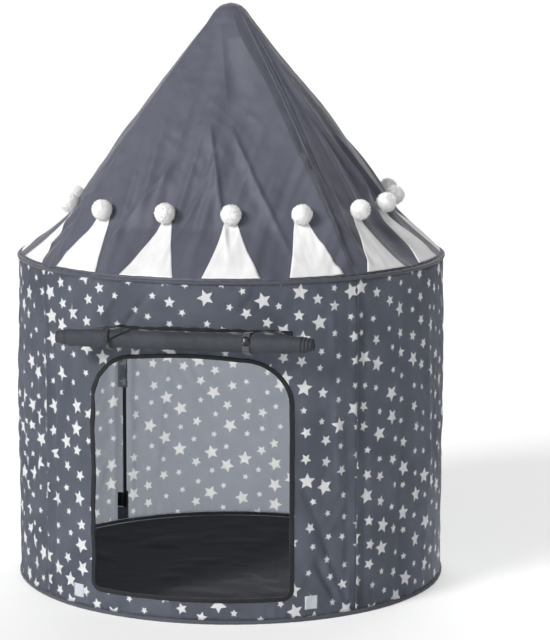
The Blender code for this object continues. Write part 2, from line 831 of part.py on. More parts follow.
def ties():
    """The left elastic loop with its bead, the right strap with its button, and the loops under the roll."""
    cord_path = roll_radius + tie_gap + tie_cord_radius
    strap_path = roll_radius + tie_gap + half_cloth
    left = left_tie_place
    right = right_tie_place

    near = over_roll(left, tie_seam_height, cord_path, tie_end_angle, 5)
    far = over_roll(left + left_tie_spread, tie_seam_height, cord_path, tie_end_angle, 5)
    for number, knot in enumerate(far):
        knot.x += (left - knot.x) * (number / (len(far) - 1)) ** 2
    pivot = wall_face(left, tie_seam_height, cloth + seat_gap)
    cords = shaped(rod(near, tie_cord_radius), [rod(far, tie_cord_radius)], "UNION")
    cords.transform(Matrix.Translation(-pivot))
    part("tie_left", cords, finish("elastic cord", black, 0.8), location=pivot)
    bead_out = cord_path + tie_cord_radius + seat_gap + bead_half_depth
    bead = ball((bead_half_width, bead_half_depth, bead_half_height),
                Vector((left, roll_line - bead_out, roll_height)) - pivot, 10, 6)
    part("toggle_left", bead, finish("bead", black, 0.35), location=pivot)

    def strap(x, width, seam_height, last, count, below=False):
        def place(across, up):
            aside = x + width * (across - 0.5)
            path = over_roll(aside, seam_height, strap_path, last, count, below)
            return path[round(up * (len(path) - 1))]

        return cloth_sheet(1, count + 1, place)

    pivot = wall_face(right, tie_seam_height, cloth + seat_gap)
    upper = strap(right, tie_strap_width, tie_seam_height, tie_end_angle, 6)
    upper.transform(Matrix.Translation(-pivot))
    part("tie_right", upper, finish("tie strap", slate), location=pivot)
    lean = math.radians(button_angle)
    button_out = strap_path + half_cloth + seat_gap + button_half_depth
    height = roll_height + button_out * math.sin(lean)
    place = Vector((right, roll_line + button_out * math.cos(lean), height))
    button = ball((button_half_width, button_half_depth, button_half_height), (0, 0, 0), 10, 6)
    button.transform(Matrix.Translation(place - pivot) @ Matrix.Rotation(lean - math.pi, 4, "X"))
    part("toggle_right", button, finish("button", black, 0.35), location=pivot)

    for name, x, width in (("left", left, loop_strap_width), ("right", right, tie_strap_width)):
        loop = strap(x, width, loop_seam_height, loop_end_angle, 5, below=True)
        part(f"tie_loop_{name}", loop, finish(f"{name} loop strap", slate))


def build():
    """Make the whole tent in an emptied scene."""
    for thing in list(bpy.data.objects):
        bpy.data.objects.remove(thing)
    bpy.context.scene.collection.children.link(tent)
    bpy.context.scene.collection.children.link(cutters)
    floor_and_hoops()
    wall()
    roof()
    poles()
    pockets()
    crown()
    curtain()
    ties()


build()
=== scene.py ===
import math
import random

import bmesh
import bpy
from mathutils import Matrix, Vector, noise


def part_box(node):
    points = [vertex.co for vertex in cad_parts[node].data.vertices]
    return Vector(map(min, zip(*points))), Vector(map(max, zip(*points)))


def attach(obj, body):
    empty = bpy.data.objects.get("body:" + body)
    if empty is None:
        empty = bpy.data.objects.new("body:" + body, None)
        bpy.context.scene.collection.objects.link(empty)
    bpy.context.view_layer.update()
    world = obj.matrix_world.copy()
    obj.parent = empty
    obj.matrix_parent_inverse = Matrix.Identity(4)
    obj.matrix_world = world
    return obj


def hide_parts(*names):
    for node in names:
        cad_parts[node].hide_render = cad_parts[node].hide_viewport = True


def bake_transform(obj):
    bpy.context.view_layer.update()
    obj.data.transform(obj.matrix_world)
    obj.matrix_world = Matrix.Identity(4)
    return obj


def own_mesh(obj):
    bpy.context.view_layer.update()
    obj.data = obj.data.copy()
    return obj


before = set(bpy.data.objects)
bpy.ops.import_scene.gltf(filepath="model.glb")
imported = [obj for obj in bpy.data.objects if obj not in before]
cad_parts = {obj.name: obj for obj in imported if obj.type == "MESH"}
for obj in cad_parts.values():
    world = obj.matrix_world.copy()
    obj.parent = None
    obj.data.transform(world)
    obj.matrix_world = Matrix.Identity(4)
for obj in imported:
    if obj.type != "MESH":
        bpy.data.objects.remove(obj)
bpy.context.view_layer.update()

# Camera. The photograph was taken from a little right of the doorway's middle and from above the wall's top,
# with a long lens, so the tent's upright lines stay nearly parallel.
def placed(name, data):
    """A new object in the scene."""
    thing = bpy.data.objects.new(name, data)
    bpy.context.scene.collection.objects.link(thing)
    return thing


camera_data = bpy.data.cameras.new("camera")
camera = placed("camera", camera_data)
bpy.context.scene.camera = camera
photo_width, photo_height = 550, 640
camera_turn = math.radians(11.25)
camera_distance = 5.842
camera_height = 1.568
camera_pitch = 0.1166
focal_pixels = 2489.8
middle_across, middle_down = 231.0, 200.0
camera.location = (
    camera_distance * math.sin(camera_turn),
    -camera_distance * math.cos(camera_turn),
    camera_height,
)
camera.rotation_euler = (math.pi / 2 - camera_pitch, 0, camera_turn)
camera_data.sensor_width = 36
camera_data.lens = focal_pixels * camera_data.sensor_width / photo_height
camera_data.shift_x = (photo_width / 2 - middle_across) / photo_height
camera_data.shift_y = (middle_down - photo_height / 2) / photo_height
camera_data.clip_end = 150


# Floor sheet. A disc of dark woven polyester, sewn all round into the bottom hem.
# It lies on the ground in low, loose ripples.
ring_radius = 0.500
weld_reach = 0.00002


def around(angle, radius, height):
    """A point at an angle, in radians, from the middle of the doorway."""
    return Vector((radius * math.sin(angle), -radius * math.cos(angle), height))


def rough(x, y, z):
    """Smooth noise between about -1 and 1 at a place."""
    return noise.noise(Vector((x, y, z)))


def strip(width, length):
    """The places on the flat cut of a plain strip."""
    return lambda across, up: (across * width, up * length)


def baked(shape, mesh):
    """A mesh filled from an edit mesh, which is let go."""
    shape.to_mesh(mesh)
    shape.free()
    return mesh


def cloth_mesh(name, columns, rows, place, measure, closed=False):
    """A grid of cloth: place(across, up) sets each corner and measure(across, up) its metres on the cut."""
    mesh = bpy.data.meshes.new(name)
    points, faces, flat = [], [], []
    for row in range(rows + 1):
        for column in range(columns + 1):
            across, up = column / columns, row / rows
            points.append(place(across, up))
            flat.append(measure(across, up))
    for row in range(rows):
        for column in range(columns):
            first = row * (columns + 1) + column
            faces.append((first, first + 1, first + columns + 2, first + columns + 1))
    mesh.from_pydata(points, [], faces)
    layer = mesh.uv_layers.new(name="cut")
    for loop in mesh.loops:
        layer.data[loop.index].uv = flat[loop.vertex_index]
    if closed:
        shape = bmesh.new()
        shape.from_mesh(mesh)
        bmesh.ops.remove_doubles(shape, verts=shape.verts, dist=weld_reach)
        baked(shape, mesh)
    mesh.shade_smooth()
    return mesh


def sewn(name, mesh, *finishes, body="tent", thickness=0.0, inside=0):
    """Put a piece in the scene with its finishes and its cloth thickness, riding on a body.

    The first finish is on the side that the mesh's faces look to.
    With inside=1 the second is on the other side.
    """
    piece = placed(name, mesh)
    for finish in finishes:
        mesh.materials.append(finish)
    if thickness:
        solid = piece.modifiers.new("Thickness", "SOLIDIFY")
        solid.thickness = thickness
        solid.offset = 0
        solid.material_offset = inside
        solid.material_offset_rim = 0
    if body:
        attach(piece, body)
    return piece


class Nodes:
    """Short names for a material's nodes."""

    def __init__(self, name):
        self.material = bpy.data.materials.new(name)
        self.material.use_nodes = True
        self.tree = self.material.node_tree
        self.shader = self.tree.nodes["Principled BSDF"]

    def make(self, kind, settings=None, **inputs):
        node = self.tree.nodes.new(kind)
        for key, value in (settings or {}).items():
            setattr(node, key, value)
        for key, value in inputs.items():
            self.feed(node.inputs[key.replace("_", " ")], value)
        return node

    def feed(self, socket, value):
        if isinstance(value, bpy.types.NodeSocket):
            self.tree.links.new(value, socket)
        else:
            socket.default_value = value

    def surface(self, **inputs):
        """Set or feed the cloth or plastic shader's own inputs."""
        for key, value in inputs.items():
            self.feed(self.shader.inputs[key.replace("_", " ")], value)

    def math(self, operation, *values):
        node = self.tree.nodes.new("ShaderNodeMath")
        node.operation = operation
        for socket, value in zip(node.inputs, values):
            self.feed(socket, value)
        return node.outputs[0]

    def plus(self, first, second):
        return self.math("ADD", first, second)

    def minus(self, first, second):
        return self.math("SUBTRACT", first, second)

    def times(self, first, second):
        return self.math("MULTIPLY", first, second)

    def mix(self, share, first, second):
        node = self.tree.nodes.new("ShaderNodeMix")
        node.data_type = "RGBA"
        self.feed(node.inputs["Factor"], share)
        self.feed(node.inputs["A"], first)
        self.feed(node.inputs["B"], second)
        return node.outputs["Result"]

    def remap(self, value, low, high, to_low=0.0, to_high=1.0, smooth=False):
        node = self.tree.nodes.new("ShaderNodeMapRange")
        node.interpolation_type = "SMOOTHSTEP" if smooth else "LINEAR"
        for key, given in (("Value", value), ("From Min", low), ("From Max", high),
                           ("To Min", to_low), ("To Max", to_high)):
            self.feed(node.inputs[key], given)
        return node.outputs["Result"]

    def cut(self):
        """The place on the flat cut, in metres."""
        return self.make("ShaderNodeUVMap", {"uv_map": "cut"}).outputs["UV"]


def paint(red, green, blue):
    """An sRGB colour from 0 to 255 as linear values."""
    linear = []
    for value in (red, green, blue):
        share = value / 255
        linear.append(share / 12.92 if share <= 0.04045 else ((share + 0.055) / 1.055) ** 2.4)
    return (*linear, 1.0)


def toned(colour, gain):
    """A lighter or darker tone of a colour."""
    return tuple(value * gain for value in colour[:3]) + (1.0,)


def weave(nodes, place, pitch, depth, strength):
    """Plain weave as a bump: warp and weft bands that pass over each other."""
    split = nodes.make("ShaderNodeSeparateXYZ", Vector=place)
    turn = 2 * math.pi / pitch
    warp = nodes.math("SINE", nodes.times(split.outputs["X"], turn))
    weft = nodes.math("SINE", nodes.times(split.outputs["Y"], turn))
    height = nodes.times(warp, weft)
    bump = nodes.make("ShaderNodeBump", Height=height, Distance=depth, Strength=strength)
    return height, bump


def woven_nodes(name, colour, second, roughness=0.78, sheen=0.25, pitch=0.0008, crease=0.0):
    """Plain woven polyester: two close tones in soft blotches, threads with painted shade in the weave's
    dips, and fine crush lines.
    """
    nodes = Nodes(name)
    place = nodes.cut()
    blotch = nodes.make("ShaderNodeTexNoise", Vector=place, Scale=9.0, Detail=4.0, Roughness=0.6)
    share = nodes.remap(blotch.outputs["Fac"], 0.35, 0.65)
    height, threads = weave(nodes, place, pitch, pitch / 6, 0.35)
    tone = nodes.mix(share, colour, second)
    # The weave's low places are mixed a little towards a darker tone: painted shade in the dips between the
    # threads.
    tone = nodes.mix(nodes.remap(height, -1.0, 1.0, 0.22, 0.0), tone, toned(colour, 0.82))
    shine = nodes.remap(share, 0, 1, roughness - 0.05, roughness + 0.05)
    nodes.surface(Base_Color=tone, Roughness=shine)
    normal = threads.outputs["Normal"]
    if crease:
        ridged = {"noise_type": "RIDGED_MULTIFRACTAL"}
        lines = nodes.make("ShaderNodeTexNoise", ridged, Vector=place, Scale=19.0, Detail=4.0, Roughness=0.6)
        height = lines.outputs["Fac"]
        folds = nodes.make("ShaderNodeBump", Height=height, Distance=crease, Strength=0.7, Normal=normal)
        normal = folds.outputs["Normal"]
    nodes.surface(Normal=normal, Sheen_Weight=sheen, Sheen_Roughness=0.4, Specular_IOR_Level=0.3)
    return nodes


def woven(*tones, **settings):
    return woven_nodes(*tones, **settings).material


floor_radius = 0.4935
floor_thickness, floor_lift, floor_ripple = 0.0008, 0.0006, 0.006
floor_columns, floor_rows = 128, 48
floor_cloth = woven(
    "floor cloth", paint(26, 27, 34), paint(37, 38, 46), roughness=0.85, sheen=0.10, crease=0.002,
)


def floor_place(across, up):
    angle = 2 * math.pi * across
    radius = floor_radius * up
    flat_at = Vector((math.sin(angle) * radius, -math.cos(angle) * radius, 0))
    swell = noise.noise(flat_at * 7 + Vector((3, 1, 0))) + 0.5 * noise.noise(flat_at * 17)
    ripple = max(0, swell) * floor_ripple * min(1, (1 - up) * 8) + floor_lift
    return flat_at + Vector((0, 0, ripple))


def floor_measure(across, up):
    point = floor_place(across, up)
    return point.x, point.y


floor_mesh = cloth_mesh("floor", floor_columns, floor_rows, floor_place, floor_measure, closed=True)
floor = sewn("floor_cloth_disc", floor_mesh, floor_cloth, thickness=floor_thickness)
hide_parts("floor_sheet")


# Hoops and hems. Each spring-steel hoop runs in a tunnel of folded tape that is sewn round the cloth's edge,
# and the tape gathers into small puckers along its stitches.
wall_height = 0.760
tunnel_radius = 0.0045
hem_radius = 0.0050
hem_centre = hem_radius * math.sin(math.pi / 3)
hem_columns, hem_rows = 720, 12
tape = woven("hem tape", paint(68, 71, 79), paint(80, 83, 92), roughness=0.75, pitch=0.0012)


def hem_place(radius, height, wave, phase):
    """A cloth tube round a hoop, pinched at its stitches and a little uneven along its run."""

    def place(across, up):
        angle = 2 * math.pi * across
        turn = 2 * math.pi * up
        gather = math.sin(angle * 150 + phase) * math.sin(angle * 61 + 2 * phase)
        size = radius * (0.96 + 0.07 * gather * (0.5 + 0.5 * math.cos(turn)))
        drift = wave * noise.noise(Vector((math.sin(angle), math.cos(angle), phase)) * 4)
        flat_low = -hem_centre * 0.98
        rise = max(size * math.sin(turn), flat_low) if height < ring_radius / 2 else size * math.sin(turn)
        return around(angle, ring_radius + size * math.cos(turn) + drift, height + rise)

    return place


def hem_measure(across, up):
    return across * 2 * math.pi * ring_radius, up * 2 * math.pi * hem_radius


for hem_name, node, wire, radius, height, wave, phase in (
    ("bottom_hem_tape", "bottom_hem", "bottom_hoop", hem_radius, hem_centre, 0.0012, 0.6),
    ("top_hem_tape", "top_hem", "top_hoop", tunnel_radius, wall_height, 0.0006, 2.1),
):
    place = hem_place(radius, height, wave, phase)
    tube = cloth_mesh(hem_name, hem_columns, hem_rows, place, hem_measure, closed=True)
    hem = sewn(hem_name, tube, tape)
    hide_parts(node, wire)


# Wall. Four panels of printed polyester between the two hoops, seamed over the four poles.
# The cloth bellies out a little between the hoops, pleats near the seams, and puckers at the hems.
wall_foot = 0.0090
wall_top = 0.7558
wall_belly = 0.0045
pleat_depth = 0.006
pleat_end_share, pleat_fade_share = 0.90, 0.14
welt_height, welt_dip, welt_width, welt_dip_run = 0.0032, 0.0040, 0.0075, 0.025
cloth_thickness, trim_thickness, strap_thickness = 0.0007, 0.0006, 0.0009
half_cloth = 0.0005
panel_gap = 0.0002
panel_edge_ease = 14
wall_columns, wall_rows = 132, 110
print_shift = 0.31
star_cell, star_turn = 0.047, 0.42
large_star, medium_star, small_star = 0.0195, 0.0135, 0.0088
quarter = math.pi / 2
sides = {"front": 0, "right": 1, "rear": 2, "left": 3}


def star_mask(nodes, place):
    """One where a five-pointed star of the print lies, and zero elsewhere.

    Each cell of a slanting grid holds one star, in one of three sizes.
    """
    turned_place = nodes.make("ShaderNodeMapping", Vector=place)
    turned_place.inputs["Rotation"].default_value = (0, 0, star_turn)
    turned_place.inputs["Scale"].default_value = (1 / star_cell, 1 / star_cell, 1)
    split = nodes.make("ShaderNodeSeparateXYZ", Vector=turned_place.outputs["Vector"])
    row = nodes.math("FLOOR", split.outputs["Y"])
    shifted = nodes.plus(split.outputs["X"], nodes.times(row, 0.5))
    column = nodes.math("FLOOR", shifted)
    chances = []
    for offset in (0.37, 31.61):
        spot = nodes.make("ShaderNodeCombineXYZ", X=nodes.plus(column, offset), Y=nodes.plus(row, offset))
        flat = {"noise_dimensions": "2D"}
        cast = nodes.make("ShaderNodeTexWhiteNoise", flat, Vector=spot.outputs["Vector"])
        parts = nodes.make("ShaderNodeSeparateXYZ", Vector=cast.outputs["Color"])
        chances += [parts.outputs["X"], parts.outputs["Y"], parts.outputs["Z"]]
    large, medium, small = large_star / star_cell, medium_star / star_cell, small_star / star_cell
    is_large = nodes.math("LESS_THAN", chances[0], 0.26)
    is_small = nodes.math("GREATER_THAN", chances[0], 0.50)
    size = nodes.plus(medium, nodes.times(is_large, large - medium))
    size = nodes.plus(size, nodes.times(is_small, small - medium))
    room = nodes.times(nodes.minus(0.49, size), 1.35)
    across = nodes.minus(nodes.math("FRACT", shifted), 0.5)
    upward = nodes.minus(nodes.math("FRACT", split.outputs["Y"]), 0.5)
    across = nodes.minus(across, nodes.times(nodes.minus(chances[1], 0.5), room))
    upward = nodes.minus(upward, nodes.times(nodes.minus(chances[2], 0.5), room))
    reach = nodes.math("SQRT", nodes.plus(nodes.times(across, across), nodes.times(upward, upward)))
    bearing = nodes.plus(nodes.math("ARCTAN2", across, upward), nodes.times(chances[3], 2 * math.pi / 5))
    folded = nodes.math("PINGPONG", bearing, math.pi / 5)
    inner = 0.47
    tip, notch = Vector((1, 0)), Vector((inner * math.cos(math.pi / 5), inner * math.sin(math.pi / 5)))
    run = (notch - tip).normalized()
    edge_turn = math.atan2(-run.x, run.y)
    edge_reach = math.cos(edge_turn)
    along_edge = nodes.times(reach, nodes.math("COSINE", nodes.minus(folded, edge_turn)))
    inside = nodes.minus(nodes.times(size, edge_reach), along_edge)
    return nodes.remap(inside, -0.006, 0.006)


def let_light_through(nodes, share, colour):
    """Mix a translucent shader into a cloth, so that it glows with the light that falls on its other side."""
    glow = nodes.make("ShaderNodeBsdfTranslucent", Color=colour)
    both = nodes.make("ShaderNodeMixShader")
    nodes.feed(both.inputs[0], share)
    nodes.feed(both.inputs[1], nodes.shader.outputs["BSDF"])
    nodes.feed(both.inputs[2], glow.outputs["BSDF"])
    nodes.feed(nodes.tree.nodes["Material Output"].inputs["Surface"], both.outputs["Shader"])


def printed(name, ground, blotch_ground, star, roughness, through):
    """Thin printed polyester: the woven ground with pale stars, both of which let some light through."""
    nodes = woven_nodes(name, ground, blotch_ground, roughness=roughness, sheen=0.08, crease=0.009)
    mask = star_mask(nodes, nodes.cut())
    base = nodes.shader.inputs["Base Color"].links[0].from_socket
    worn = nodes.make("ShaderNodeTexNoise", Vector=nodes.cut(), Scale=180.0, Detail=2.0)
    ink = nodes.mix(nodes.remap(worn.outputs["Fac"], 0.3, 0.7), star, toned(star, 0.93))
    nodes.feed(nodes.shader.inputs["Base Color"], nodes.mix(mask, base, ink))
    let_light_through(nodes, through, nodes.mix(mask, (0.68, 0.705, 0.745, 1.0), (1.0, 1.0, 1.0, 1.0)))
    return nodes.material


outside_print = printed(
    "printed cloth", paint(58, 61, 71), paint(86, 90, 102), paint(252, 252, 253), roughness=0.62, through=0.6,
)
# The reverse is painted far lighter than the outside. This is partly the cloth's paler back and partly
# painted light standing in for the glow of light through the walls inside the tent.
reverse_print_painted_lighter = printed(
    "printed cloth reverse painted lighter", paint(170, 174, 182), paint(197, 201, 209), paint(253, 253, 253),
    roughness=0.8, through=0.6,
)


def wall_radius(angle, height, belly=0.0):
    """How far out the wall is at an angle from its panel's middle: its belly, pleats and seam welts."""
    up = min(max((height - wall_foot) / (wall_top - wall_foot), 0), 1)
    slack = math.sin(math.pi * up)
    share = abs(angle) / (quarter / 2)
    calm = min(1, max(0, (pleat_end_share - share) / pleat_fade_share))
    pleat = slack * share**2 * calm * math.cos(24 * angle)
    from_seam = (quarter / 2 - abs(angle)) * ring_radius
    welt = welt_height * math.exp(-(from_seam / welt_width) ** 2)
    welt -= welt_dip * math.exp(-((from_seam - welt_dip_run) / welt_width) ** 2)
    bellied = ring_radius + belly * slack * math.cos(2 * angle)
    return bellied + pleat_depth * pleat + welt * min(1, slack * 3)


def between(path, spot):
    """The value at a spot on a line of (spot, value) points."""
    for (low, first), (high, last) in zip(path, path[1:]):
        if spot <= high:
            return first + (last - first) * max(0, spot - low) / (high - low)
    return path[-1][1]


# Each wall crease: its panel, its line from low to high as (height, degrees from the panel's middle),
# how far it stands out, and how wide it is on its left and right sides.
wall_creases = [
    (0, [(0.015, 43.0), (0.16, 36.0), (0.34, 28.0)], -0.0035, 0.018, 0.030),
    (0, [(0.015, 40.5), (0.10, 35.0), (0.16, 32.5)], -0.0045, 0.014, 0.020),
    (0, [(0.62, -20.0), (0.68, -15.0), (0.752, -8.5)], -0.0045, 0.016, 0.012),
    (0, [(0.64, -26.0), (0.752, -17.0)], 0.0030, 0.014, 0.012),
    (0, [(0.30, -42.0), (0.55, -36.0), (0.752, -31.0)], 0.0040, 0.020, 0.014),
    (0, [(0.68, 12.0), (0.752, 18.0)], -0.0035, 0.014, 0.014),
    (0, [(0.25, 40.0), (0.50, 38.5), (0.752, 37.0)], 0.0030, 0.012, 0.018),
    (1, [(0.012, -27.0), (0.30, -28.5), (0.752, -27.0)], -0.0110, 0.085, 0.055),
    (1, [(0.012, 3.0), (0.40, 1.5), (0.752, 3.0)], -0.0070, 0.040, 0.060),
    (1, [(0.02, -18.0), (0.35, -14.0), (0.70, -16.0)], 0.0040, 0.030, 0.040),
    (1, [(0.30, 20.0), (0.60, 27.0), (0.75, 32.0)], 0.0050, 0.030, 0.025),
    (2, [(0.05, -30.0), (0.40, -33.0), (0.75, -28.0)], -0.0060, 0.050, 0.040),
    (2, [(0.10, 34.0), (0.45, 30.0), (0.75, 33.0)], -0.0060, 0.045, 0.050),
    (2, [(0.20, 5.0), (0.50, -3.0), (0.74, -12.0)], 0.0030, 0.020, 0.030),
    (3, [(0.02, 36.0), (0.30, 27.0), (0.62, 22.0)], -0.0090, 0.035, 0.045),
    (3, [(0.10, 14.0), (0.40, 16.0), (0.75, 13.0)], -0.0060, 0.050, 0.040),
    (3, [(0.15, -20.0), (0.45, -26.0), (0.75, -30.0)], -0.0060, 0.030, 0.050),
    (3, [(0.05, -35.0), (0.30, -31.0), (0.60, -33.0)], 0.0040, 0.030, 0.020),
]


# The front panel's creases stand out this many times as far as the table gives, so that they show as
# photographed.
front_crease_gain = 2.2
crease_end, crease_seam_run = 0.05, 0.020
wall_swell, drag_depth, fine_depth = 0.0022, 0.0016, 0.0006
top_gather, foot_gather = 0.0011, 0.0013
cover_height, cover_half_width, cover_clearance = 0.665, 0.30, 0.0010


def wall_crease(number, angle, height):
    """How far the creases lift a wall panel."""
    gain = front_crease_gain if number == 0 else 1.0
    lift = 0.0
    for panel, line, depth, left, right in wall_creases:
        if panel != number:
            continue
        ease = min(1, (height - line[0][0]) / crease_end, (line[-1][0] - height) / crease_end)
        if ease <= 0:
            continue
        past = (angle - math.radians(between(line, height))) * ring_radius
        width = left if past < 0 else right
        lift += gain * depth * ease * max(0.0, 1 - abs(past) / width) ** 2
    return lift * min(1, (quarter / 2 - abs(angle)) * ring_radius / crease_seam_run)


def crinkle(angle, height, number):
    """Wrinkles in a wall panel: broad swells, slanting drag lines, and gathers along both hems.

    Where the curtain lies or hangs in front of the wall, the cloth keeps back and doesn't come through it.
    """
    run = ring_radius * angle
    seed = number * 7.3
    up = (height - wall_foot) / (wall_top - wall_foot)
    slack = math.sin(math.pi * up) ** 0.5 if 0 < up < 1 else 0
    swell = wall_swell * rough(run * 6, height * 3.5, seed)
    lean = 0.55 if angle < 0 else -0.55
    drag = rough(run * 22 + height * 22 * lean, height * 5 - run * 4, seed + 5)
    fine = rough(run * 45 - height * 18 * lean, height * 12, seed + 9)
    crossing = drag_depth * (0.45 - abs(drag) * 2) + fine_depth * fine
    high_wave = math.sin(run * 290 + 3 * rough(run * 20, seed, 0))
    low_wave = math.sin(run * 240 + 3 * rough(run * 18, seed, 4))
    high_gather = math.exp(-(wall_top - height) / 0.022) * high_wave
    low_gather = math.exp(-(height - wall_foot) / 0.026) * low_wave
    lift = slack * (1.3 * swell + crossing * 2.4) + top_gather * high_gather + foot_gather * low_gather
    lift += wall_crease(number, angle, height)
    behind_curtain = number == 0 and height < cover_height and abs(run) < cover_half_width
    return min(lift, cover_clearance) if behind_curtain else lift


def panel_place(number):
    half = quarter / 2 - panel_gap / ring_radius
    turn = Matrix.Rotation(number * quarter, 3, "Z")

    def place(across, up):
        angle = half * (2 * across - 1)
        height = wall_foot + (wall_top - wall_foot) * up
        edge = min(1, (1 - abs(2 * across - 1)) * panel_edge_ease)
        belly = wall_belly if number else 0.0
        radius = wall_radius(angle, height, belly) + crinkle(angle, height, number) * edge
        return turn @ around(angle, radius, height)

    return place


def panel_measure(number):
    def measure(across, up):
        run = ring_radius * (number + across - 0.5) * quarter
        return run + print_shift * number, wall_foot + (wall_top - wall_foot) * up

    return measure


door_half_width = 0.2215
door_sill_height = 0.057
door_top_height = 0.587
door_crown_rise = 0.008
door_top_corner = 0.105
door_foot_corner = 0.016


def steps_to(angle, count):
    return [angle * i / count for i in range(count + 1)]


def door_outline(grow=0.0, fine=1):
    """The doorway's outline as (x, z) points, grown outward by a distance."""
    wide, sill = door_half_width + grow, door_sill_height - grow
    top, corner = door_top_height + grow, door_top_corner + grow
    foot = max(door_foot_corner + grow, 0.0003)
    right = [
        (wide - foot + foot * math.sin(a), sill + foot - foot * math.cos(a))
        for a in steps_to(math.pi / 2, 4 * fine)
    ]
    right += [
        (wide - corner + corner * math.cos(a), top - corner + corner * math.sin(a))
        for a in steps_to(math.pi / 2, 12 * fine)[:-1]
    ]
    for number in range(4 * fine):
        share = number / (4 * fine)
        right.append(((wide - corner) * (1 - share), top + door_crown_rise * math.sin(share * math.pi / 2)))
    right.append((0.0, top + door_crown_rise))
    return right + [(-x, z) for x, z in reversed(right[:-1])]


def prism(outline, low, high):
    """A flat outline of (x, z) points made solid from y = low to y = high."""
    shape = bmesh.new()
    front = [shape.verts.new((x, low, z)) for x, z in outline]
    back = [shape.verts.new((x, high, z)) for x, z in outline]
    shape.faces.new(front)
    shape.faces.new(list(reversed(back)))
    for i in range(len(outline)):
        j = (i + 1) % len(outline)
        shape.faces.new((front[j], front[i], back[i], back[j]))
    bmesh.ops.recalc_face_normals(shape, faces=shape.faces)
    return baked(shape, bpy.data.meshes.new("doorway"))


def cut_out(piece, tool_mesh):
    """Cut a shape out of a piece and keep the result as its mesh."""
    tool = placed("cutter", tool_mesh)
    cut = piece.modifiers.new("Cut", "BOOLEAN")
    cut.operation = "DIFFERENCE"
    cut.object = tool
    bpy.context.view_layer.update()
    graph = bpy.context.evaluated_depsgraph_get()
    mesh = bpy.data.meshes.new_from_object(piece.evaluated_get(graph))
    piece.modifiers.clear()
    piece.data = mesh
    bpy.data.objects.remove(tool)


sleeve_low_height, sleeve_top_height = 0.356, 0.716
sleeve_hug, sleeve_foot, sleeve_gap = 0.0072, 0.0130, 0.0006
pole_radial = 0.489
pole_stand_off = ring_radius - half_cloth - pole_radial
edge_lift, edge_rise, hug_margin = 0.0004, 0.0012, 0.0012


def over_pole(hug, foot):
    """The path of cloth over a pole, from one sewn edge to the other: (aside, inward) points."""
    points = [(-foot, edge_lift), (-foot * 0.75, edge_rise), (-hug - hug_margin, pole_stand_off * 0.4)]
    for degrees in range(165, 10, -15):
        turn = math.radians(degrees)
        points.append((hug * math.cos(turn), pole_stand_off + hug * math.sin(turn)))
    return points + [(hug + hug_margin, pole_stand_off * 0.4), (foot * 0.75, edge_rise), (foot, edge_lift)]


def along(path, share):
    """The point at a share of the way along a path whose steps count alike."""
    spot = share * (len(path) - 1)
    first = min(int(spot), len(path) - 2)
    rest = spot - first
    return tuple(a + (b - a) * rest for a, b in zip(path[first], path[first + 1]))


def sleeve_place(path, low, high, number, ripple, waves):
    """Cloth over the wall pole at a panel's right seam, between two heights, rippled along its run."""
    turn = Matrix.Rotation((number + 0.5) * quarter, 3, "Z")
    inner_face = ring_radius - sleeve_gap

    def place(across, up):
        aside, inward = along(path, across)
        height = low + (high - low) * up
        swell = ripple * math.sin(height * waves + across * 3) * math.sin(math.pi * across)
        return turn @ Vector((aside, -(inner_face - inward - swell), height))

    return place


for side, number in sides.items():
    mesh = cloth_mesh(f"wall_{side}", wall_columns, wall_rows, panel_place(number), panel_measure(number))
    wall = sewn(
        f"wall_cloth_{side}", mesh, outside_print, reverse_print_painted_lighter,
        thickness=cloth_thickness, inside=1, body=None,
    )
    if side == "front":
        cut_out(wall, prism(door_outline(0.0, 2), -1.5 * ring_radius, -0.5 * ring_radius))
    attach(wall, "tent")
    place = sleeve_place(
        over_pole(sleeve_hug, sleeve_foot), sleeve_low_height, sleeve_top_height, number, 0.0006, 160,
    )
    sleeve_mesh = cloth_mesh(f"sleeve_{side}", 28, 60, place, strip(0.05, 0.36))
    sleeve = sewn(f"wall_sleeve_{side}", sleeve_mesh, reverse_print_painted_lighter, thickness=trim_thickness)
    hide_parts(f"wall_panel_{side}")


# Doorway binding. A strip of dark tape folded over the cut edge of the front panel and stitched through.
# It takes the round top corners without a join and puckers slightly along its stitches.
tape_width = 0.0085
binding_step = 0.004
binding_tape = woven("binding tape", paint(20, 22, 26), paint(30, 32, 37), roughness=0.7, pitch=0.0012)


def on_front(x, z, out):
    """A point off the front panel's cloth, at a place across the doorway."""
    angle = math.asin(max(-1, min(1, x / ring_radius)))
    radius = wall_radius(angle, z)
    radius += crinkle(angle, z, 0) * min(1, (1 - abs(angle) / (quarter / 2)) * panel_edge_ease)
    return around(angle, radius + out, z)


def edge_frames(outline):
    """Each point of a closed outline with its outward direction in the (x, z) plane and its run so far."""
    frames, run = [], 0.0
    count = len(outline)
    for i, (x, z) in enumerate(outline):
        ahead, behind = outline[(i + 1) % count], outline[i - 1]
        tangent = Vector((ahead[0] - behind[0], ahead[1] - behind[1])).normalized()
        frames.append((x, z, tangent.y, -tangent.x, run))
        run += math.dist((x, z), ahead)
    return frames, run


dense = []
outline = door_outline(0.0, 3)
for i, point in enumerate(outline):
    ahead = outline[(i + 1) % len(outline)]
    pieces = max(1, round(math.dist(point, ahead) / binding_step))
    for step in range(pieces):
        dense.append(tuple(a + (b - a) * step / pieces for a, b in zip(point, ahead)))
frames, door_run = edge_frames(dense)
outer_leaf = [
    (tape_width, 0.0009), (tape_width * 0.93, 0.0016), (0.004, 0.0017), (0.0, 0.0016), (-0.0011, 0.0007),
]
fold = outer_leaf + [(width, -out) for width, out in reversed(outer_leaf)]


